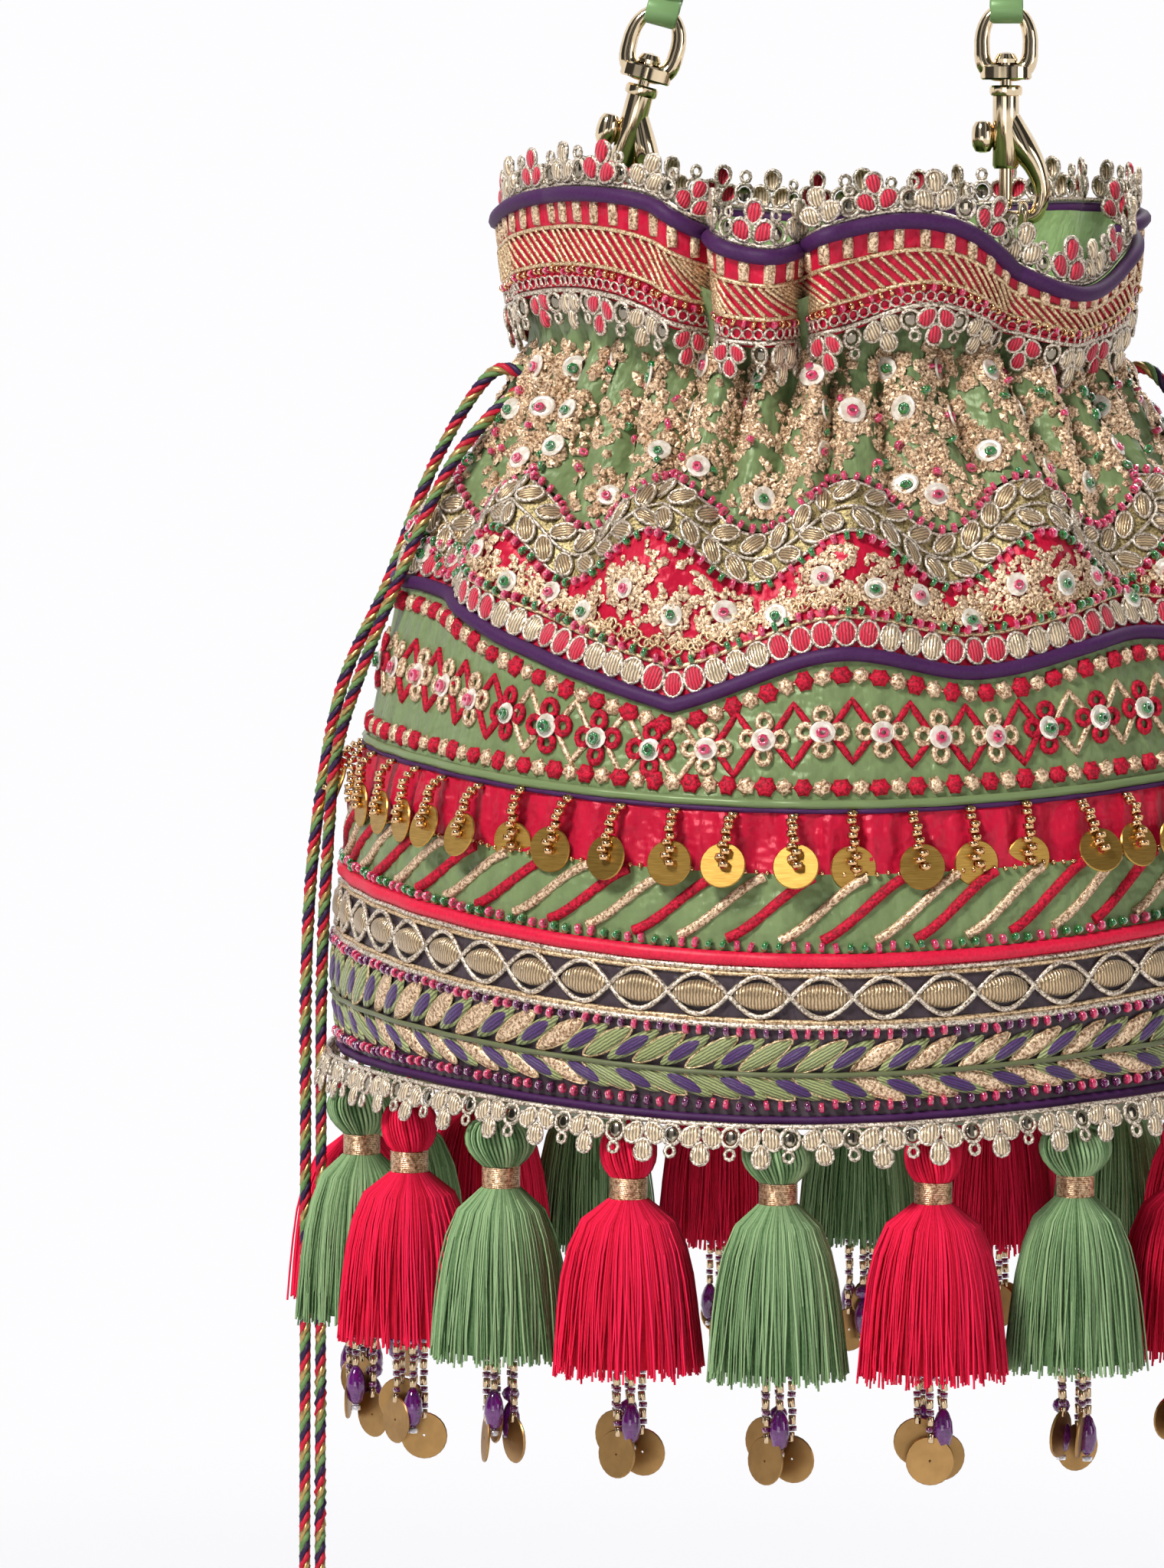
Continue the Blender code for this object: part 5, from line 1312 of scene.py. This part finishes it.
def tassel(kind, material, seed):
    loose = np.random.default_rng(seed)
    neck = LOOP_LENGTH + 0.0105
    hang = neck + WRAP_LENGTH
    head = head_profile[kind]
    paths = []
    for index in range(48):
        t = 2 * math.pi * (index + loose.uniform(-0.15, 0.15)) / 48
        path = []
        for step in range(8):
            at = head[-1][0] * step / 7
            radius = hermite(head, at) - 0.00018
            path.append((radius * math.cos(t + 0.05 * step), radius * math.sin(t + 0.05 * step),
                         -(LOOP_LENGTH - 0.0004 + at)))
        paths.append(path)
    parts = [threads(paths, 0.00042, material, 3, seed=seed)]
    core = [(max(hermite(head, head[-1][0] * k / 8) - 0.0006, 0.0003),
             -(LOOP_LENGTH - 0.0004 + head[-1][0] * k / 8))
            for k in range(9)]
    core_mesh = turned_solid(core[::-1], 20, "Z")
    skirt = skirt_profile[kind]
    shell = [(max(hermite(skirt, SKIRT_LENGTH * k / 8) - 0.0011, 0.002),
              -(hang - 0.0006 + SKIRT_LENGTH * k / 8 * 0.97))
             for k in range(9)]
    shell_mesh = turned_solid(shell[::-1], 24, "Z")
    for mesh in (core_mesh, shell_mesh):
        mesh.materials.append(material)
        parts.append(mesh)
    paths = []
    for index in range(285):
        outer = index < 245
        t = 2 * math.pi * (index + loose.uniform(-0.45, 0.45)) / (245 if outer else 40)
        length = SKIRT_LENGTH + loose.normal(0.0, 0.0006)
        inset = loose.uniform(0.0, 0.0005) if outer else loose.uniform(0.0009, 0.006)
        drift, curl = loose.normal(0, 0.05), loose.normal(0, 0.00045)
        if outer and loose.random() < 0.03:
            inset, length = -loose.uniform(0.0003, 0.0012), length + 0.001
        path = []
        for step in range(7):
            share = (step / 6) ** 1.15
            radius = max(hermite(skirt, SKIRT_LENGTH * share) - inset * min(1, share * 3) + curl * share ** 2,
                         0.002)
            angle = t + drift * share ** 2 + 0.012 * math.sin(7 * share + 50 * drift)
            path.append((radius * math.cos(angle), radius * math.sin(angle),
                         -(hang - 0.0008 + (length + 0.0008) * share)))
        paths.append(path)
    parts.append(threads(paths, 0.00028, material, 3, seed=seed + 1))
    coil = []
    for step in range(131):
        t = 2 * math.pi * 13 * step / 130
        coil.append(((WRAP_RADIUS - 0.0002) * math.cos(t), (WRAP_RADIUS - 0.0002) * math.sin(t),
                     -(neck + 0.0002 + (WRAP_LENGTH - 0.0004) * step / 130)))
    parts.append(threads([coil], 0.00030, wrap_wire, 4))
    loop = [(0.0, 0.0, -LOOP_LENGTH * k / 3) for k in range(4)]
    parts.append(threads([loop], 0.00055, material, 5))
    strung = {purple_bead: bmesh.new(), bugle: bmesh.new(), dark_disc: bmesh.new(), amethyst: bmesh.new(),
              clear_bead: bmesh.new()}
    bottom = hang + SKIRT_LENGTH
    for number in range(5):
        t = math.radians(72 * number + 30 + loose.uniform(-15, 15))
        x, y, down = 0.0032 * math.cos(t), 0.0032 * math.sin(t), bottom - 0.004
        for pair in range((5, 3, 4, 4, 3)[number] + int(loose.integers(0, 2))):
            for solid, colour, height in ((upright_bead, purple_bead, 0.0015), (bugle_tube, bugle, 0.0023)):
                one = solid.copy()
                one.transform(Matrix.Translation((x + loose.uniform(-0.0002, 0.0002), y, -(down + height / 2)))
                              @ Matrix.Rotation(loose.uniform(-0.12, 0.12), 4,
                                  "Y") @ Matrix.Diagonal((0.8, 0.8, 1, 1)))
                strung[colour].from_mesh(one)
                down += height
        if number in (0, 2, 3):
            disc_copy = drop_disc.copy()
            disc_copy.transform(Matrix.Translation((x, y, -(down - 0.0008)))
                                @ Matrix.Rotation(loose.uniform(-0.7, 0.7), 4, "Z")
                                @ Matrix.Rotation(loose.uniform(-0.1, 0.1), 4, "X"))
            strung[dark_disc].from_mesh(disc_copy)
        else:
            for solid, colour, height in ((round_drop, amethyst, 0.0036), (long_drop, amethyst, 0.0090),
                                          (upright_bead, clear_bead, 0.0016))[(number == 4):]:
                one = solid.copy()
                one.transform(Matrix.Translation((x, y, -(down + height / 2))))
                strung[colour].from_mesh(one)
                down += height
    for colour, shapes in strung.items():
        mesh = bpy.data.meshes.new("strung")
        shapes.to_mesh(mesh)
        mesh.materials.append(colour)
        mesh.shade_smooth()
        parts.append(mesh)
    return merged(parts)


bugle_tube = turned_solid([(0.0009, -0.00105), (0.00105, -0.0009), (0.00105, 0.0009), (0.0009, 0.00105)], 7, "Z")
round_drop = turned_solid([(0.0006, -0.0018), (0.0017, -0.0010), (0.0021, 0.0), (0.0017, 0.0010),
                           (0.0006, 0.0018)], 9, "Z")
long_drop = turned_solid([(0.0006, -0.0045), (0.0017, -0.0034), (0.0023, -0.0008), (0.0021, 0.0016),
                          (0.0013, 0.0036),
                          (0.0006, 0.0045)], 9, "Z")
drop_disc = ring_solid([(0.0054, 0.0), (0.0052, -0.0003), (0.0003, -0.0003), (0.0003, 0.0003),
                        (0.0052, 0.0003)], 24, "Y")
drop_disc.set_sharp_from_angle(angle=math.radians(35))
drop_disc.transform(Matrix.Translation((0, 0, -0.0046)))
variants = {kind: [tassel(kind, material, seed) for seed in (11, 23, 37)]
            for kind, material in (("red", red_yarn), ("green", green_yarn))}
for number in range(20):
    kind = "red" if number % 2 else "green"
    mesh = variants[kind][number // 2 % 3].copy()
    degrees = TASSEL_PHASE + 18 * number
    mesh.transform(Matrix.Translation(spot(TASSEL_RING, degrees, TASSEL_DEPTH))
                   @ Matrix.Rotation(math.radians(degrees + 22 * (number % 3 - 1)), 4, "Z"))
    node = f"tassel_{number + 1:02d}"
    put(f"yarn_{node}", mesh, None, node, node, slot="red_yarn" if number % 2 else "green_yarn")

# The hardware: two polished gold bolt-snap hooks in their swivel eyes, and the wire rings that they
# hold. Barrels and collars are turned, the bows are bent bar, the bolts have a barrel knob.
polished = worn_metal("polished_gold", srgb(236, 214, 178), 0.09, 180, 0.03)
RING_X, AXIS_DEPTH, LEAN_LEFT, SHANK_X, J_WIRE = 0.046, 0.006, 15.0, -0.004, 0.0017
BARREL_RADIUS, BARREL_LOW, BARREL_HIGH = 0.00305, 0.0117, 0.0282
BLOCK_LOW, BLOCK_HIGH, EYE_WIRE, EYE_HALF, EYE_TOP = 0.0318, 0.0352, 0.0016, 0.0053, 0.0481
KNOB_HEIGHT = 0.0187


def bar(path, radii, sides=12, closed=False, flat=1.0):
    """A smooth bar along a path, with its own radius at each point."""
    frames = path_frames(path)
    points = []
    for index, centre in enumerate(path):
        across, over = frames[index]
        for side in range(sides):
            t = 2 * math.pi * side / sides
            points.append(centre + (across * math.cos(t) + over * math.sin(t) * flat) * radii[index])
    return mesh_of(points, tube_faces(len(path), sides, 0, closed))


def rounded(profile, sides=24):
    return turned_solid(profile, sides, "Z")


reach = -SHANK_X
bow_route = [(reach * 0.22, 0, 0.0228), (reach * 1.0, 0, 0.0165), (reach * 1.7, 0, 0.0118),
             (reach * 2.08, 0, 0.0070),
             (reach * 2.05, 0, 0.0036), (reach * 1.75, 0, 0.0009), (reach * 1.3, 0, 0), (reach * 0.5, 0, 0),
             (-0.0014, 0, 0)]
bow_widths = [(0, 1.5), (1, 1.85), (2, 1.5), (3, 1.08), (4, 1.0), (5, 1.0), (6, 1.0), (7, 1.0), (8, 0.9)]
bow_path = smooth_path(bow_route, 49)
bow = bar(bow_path, [J_WIRE * hermite(bow_widths, 8 * k / 48) for k in range(49)], 14)
barrel = rounded([(0.0026, BARREL_LOW - 0.0004), (BARREL_RADIUS, BARREL_LOW + 0.0004),
                  (BARREL_RADIUS, BARREL_HIGH - 0.0002),
                  (0.0036, BARREL_HIGH), (0.0038, BARREL_HIGH + 0.0006), (0.0038, BARREL_HIGH + 0.0018),
                  (0.0034, BARREL_HIGH + 0.0023), (0.0014, BARREL_HIGH + 0.0024), (0.0014, BLOCK_HIGH + 0.0004),
                  (0.0026, BLOCK_HIGH + 0.0005), (0.0027, BLOCK_HIGH + 0.0014), (0.0020, BLOCK_HIGH + 0.0026),
                  (0.0006, BLOCK_HIGH + 0.0030)])
block = rounded([(0.0042, BLOCK_LOW), (0.0045, BLOCK_LOW + 0.0004), (0.0045, BLOCK_HIGH - 0.0004),
                 (0.0042, BLOCK_HIGH)], 28)
block.transform(Matrix.Diagonal((1.32, 0.95, 1, 1)))
eye_path, eye_radii = [], []
eye_low = (BLOCK_LOW + BLOCK_HIGH) / 2
eye_middle = (eye_low + EYE_TOP) / 2
for step in range(32):
    t = 2 * math.pi * step / 32
    z = math.sin(t)
    x = math.cos(t)
    power = 0.55 if z < 0 else 0.85
    eye_path.append(Vector((math.copysign(abs(x) ** power, x) * (EYE_HALF + 0.0003 - 0.0006 * max(z, 0)), 0,
                            eye_middle + math.copysign(abs(z) ** power, z) * (EYE_TOP - eye_low) / 2)))
    eye_radii.append(EYE_WIRE * (1.12 - 0.22 * z))
eye_wire = bar(eye_path, eye_radii, 14, closed=True)
bolt_pin = rounded([(0.0011, J_WIRE + 0.0003), (0.0015, J_WIRE + 0.0007), (0.0015, KNOB_HEIGHT + 0.0012)], 18)
stem = turned_solid([(0.0009, -BARREL_RADIUS - 0.0012), (0.0009, 0.0)], 12, "X")
stem.transform(Matrix.Translation((0, 0, KNOB_HEIGHT)))
knob = turned_solid([(0.0006, -0.0037), (0.0017, -0.0034), (0.0024, -0.0022), (0.0026, -0.0006), (0.0026, 0.0006),
                     (0.0024, 0.0022), (0.0017, 0.0034), (0.0006, 0.0037)], 20, "Z")
knob.transform(Matrix.Translation((-BARREL_RADIUS - 0.0003 - 0.00195, 0, KNOB_HEIGHT)))
ring_low = J_WIRE + 0.0011 + 0.0003 - 0.013
ring_path = []
for y, z, size, first in ((0.0070 - 0.0022, 0.013 - 0.0022, 0.0022, 0),
                          (-0.0070 + 0.0022, 0.013 - 0.0022, 0.0022, 90),
                          (-0.0045 + 0.0011, 0.0011, 0.0011, 180), (0.0045 - 0.0011, 0.0011, 0.0011, 270)):
    for step in range(6):
        t = math.radians(first + 18 * step)
        ring_path.append(Vector((0, y + size * math.cos(t), z + size * math.sin(t))))
ring_bar = bar(ring_path, [0.0011] * len(ring_path), 12, closed=True)
strap_cloth = satin("strap_satin", srgb(118, 152, 98))
hook_frames = {}
for side, word in ((-1, "left"), (1, "right")):
    lean = math.radians(LEAN_LEFT if side < 0 else 0.0)
    frame_of = (Matrix.Translation((side * RING_X, 0, MOUTH_Z - AXIS_DEPTH)) @ Matrix.Rotation(lean, 4, "Y")
                @ Matrix.Translation((SHANK_X, 0, 0)))
    hook_frames[side] = frame_of
    for name, shapes, body, slot in (("hook", (bow, barrel), f"hook_{word}", "polished_gold"),
                                     ("bolt", (bolt_pin, stem, knob), f"bolt_{word}", "polished_gold"),
                                     ("eye", (block, eye_wire), "handle", "polished_gold")):
        mesh = merged([shape.copy() for shape in shapes])
        mesh.transform(frame_of)
        mesh.shade_smooth()
        mesh.set_sharp_from_angle(angle=math.radians(32))
        put(f"{name}_metal_{word}", mesh, polished, body, f"{name}_{word}", slot=slot)
    mesh = ring_bar.copy()
    mesh.transform(Matrix.Translation((side * RING_X, 0, MOUTH_Z - AXIS_DEPTH + ring_low)))
    put(f"ring_metal_{word}", mesh, polished, f"ring_{word}", f"ring_{word}", slot="polished_gold")

# The cloth tabs that hold the rings: a folded strip round each ring's low bar, sewn to the lining.
for side, word in ((-1, "left"), (1, "right")):
    tab_low, tab_high = (Vector(corner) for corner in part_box(f"tab_{word}"))
    z = MOUTH_Z - AXIS_DEPTH + ring_low
    centre = Vector((side * RING_X, 0, z))
    wall_end = Vector((tab_high.x if side > 0 else tab_low.x, 0, tab_low.z + 0.0004))
    section = []
    for step in range(10):
        t = math.radians(60 + 24 * step) if side > 0 else math.radians(120 - 24 * step)
        section.append(centre + Vector((math.cos(t + math.pi / 2 * side) * 0.0021, 0,
                                        math.sin(t + math.pi / 2 * side) * 0.0021)))
    points, faces = [], []
    route = [wall_end + (centre - wall_end) * (k / 5) for k in range(5)] + section
    for place in route:
        points += [place + Vector((0, -0.0025, 0)), place + Vector((0, 0.0025, 0))]
    faces = [(2 * k, 2 * k + 1, 2 * k + 3, 2 * k + 2) for k in range(len(route) - 1)]
    tab = put(f"tab_cloth_{word}", mesh_of(points, faces, uvs=[(p.x, p.z) for p in points]), sage_satin, "bag",
              f"tab_{word}", slot="sage_satin")
    wall = tab.modifiers.new("thickness", "SOLIDIFY")
    wall.thickness, wall.offset = 0.0010, 0

# The strap: a soft flattened tube of sage satin with gathered creases, looped and sewn round each
# eye's top bar; it rises over the point that the whole bag hangs from.
STRAP_RADIUS, STRAP_LEG = 0.003, 0.036
STRAP_ARCH = ((-0.0200, -0.074), (-0.0160, -0.044), (-0.0110, -0.015), (0.0, 0.0), (0.0130, -0.015),
              (0.0270, -0.042), (0.0375, -0.074))
tops = {side: hook_frames[side] @ Vector((0, 0, EYE_TOP)) for side in (-1, 1)}
rises = {side: hook_frames[side].to_3x3() @ Vector((0, 0, 1)) for side in (-1, 1)}
starts = {side: tops[side] + rises[side] * (EYE_WIRE + 0.0009) for side in (-1, 1)}
strap_route = ([starts[-1], starts[-1] + rises[-1] * STRAP_LEG]
               + [Vector((x, 0, z - STRAP_RADIUS)) for x, z in STRAP_ARCH]
               + [starts[1] + rises[1] * STRAP_LEG, starts[1]])
strap_path = smooth_path(strap_route, 200)
frames = path_frames(strap_path)
points, uvs = [], []
STRAP_SIDES = 28
for index, middle in enumerate(strap_path):
    across, over = frames[index]
    for step in range(STRAP_SIDES):
        t = 2 * math.pi * step / STRAP_SIDES
        crease = 1 + 0.05 * math.sin(3 * t + 0.11 * index) + 0.03 * math.sin(7 * t - 0.2 * index)
        points.append(middle + (across * math.cos(t) * 1.26 + over * math.sin(t) * 0.66) * STRAP_RADIUS * crease)
        uvs.append((t * STRAP_RADIUS, index * 0.0018))
strap_tube = mesh_of(points, tube_faces(len(strap_path), STRAP_SIDES, 0), uvs=uvs)
strap_parts = [strap_tube]
for side in (-1, 1):
    sleeve = ring_solid([(0.00205, -0.0038), (0.0032, -0.0038), (0.0034, -0.0034), (0.0034, 0.0034),
                         (0.0032, 0.0038),
                         (0.00205, 0.0038)], 28, "X")
    sleeve.transform(hook_frames[side] @ Matrix.Translation((0, 0, EYE_TOP)))
    strap_parts.append(sleeve)
put("strap_cloth", merged(strap_parts), strap_cloth, "handle", "strap", slot="strap_satin")

# The inside: a plain sage lining that follows the collar down to the floor of the bag, and the satin
# panel that closes the base within the ring of tassels.


def lining_surface(a, d, out=0.0):
    a, d = np.broadcast_arrays(np.asarray(a, float), np.asarray(d, float))
    high = np.linalg.norm((collar_surface(a, d, 0.0))[..., :2], axis=-1) - 0.0014
    low = np.interp(d, [0.0, 0.02, 0.041, 0.062, 0.086, 0.125, 0.175, 0.193],
                    [0.0700, 0.0665, 0.0612, 0.0745, 0.0895, 0.1005, 0.1085, 0.1080])
    part = np.clip((d - rim(a)) / 0.016, 0, 1)
    radius = np.minimum(high, high * (1 - part) + np.minimum(high, low) * part) * np.where(d < 0.05, 1,
        0) + low * np.where(d < 0.05, 0, 1)
    angle = np.radians(a)
    return np.stack([radius * np.sin(angle), -radius * np.cos(angle), MOUTH_Z - d], axis=-1)


tier("lining_cloth", lining_surface, under(rim, 0.0006), lambda a: 0.193 + 0 * a, lining_satin, 26, 180,
     "lining_satin",
     "lining", thick=0.0005)
floor_rings = [(0.108, 0.193), (0.07, 0.1934), (0.03, 0.1937), (0.004, 0.1938)]
points = [spot(r, 360 * k / 48, d) for r, d in floor_rings for k in range(48)]
faces = [(ring * 48 + k, (ring + 1) * 48 + k, (ring + 1) * 48 + (k + 1) % 48, ring * 48 + (k + 1) % 48)
         for ring in range(3) for k in range(48)] + [tuple(3 * 48 + k for k in range(48))]
put("lining_floor", mesh_of(points, faces, uvs=[(p.x, p.y) for p in points]), lining_satin, "bag",
    slot="lining_satin")
base_rings = [(0.1115, 0.1962), (0.1108, 0.1990), (0.1035, 0.1998), (0.0920, 0.2068), (0.075, 0.2070),
              (0.035, 0.2071),
              (0.003, 0.2071)]
points = [spot(r + 0.0006 * math.sin(k * 1.9) * (0.2 < ring < 4), 360 * k / 120, d) for ring,
          (r, d) in enumerate(base_rings)
          for k in range(120)]
faces = [(ring * 120 + k, (ring + 1) * 120 + k, (ring + 1) * 120 + (k + 1) % 120, ring * 120 + (k + 1) % 120)
         for ring in range(6) for k in range(120)] + [tuple(6 * 120 + k for k in range(120))]
put("base_cloth", mesh_of(points, faces, uvs=[(p.x, p.y) for p in points]), sage_satin, "bag", "base_panel",
    slot="sage_satin")
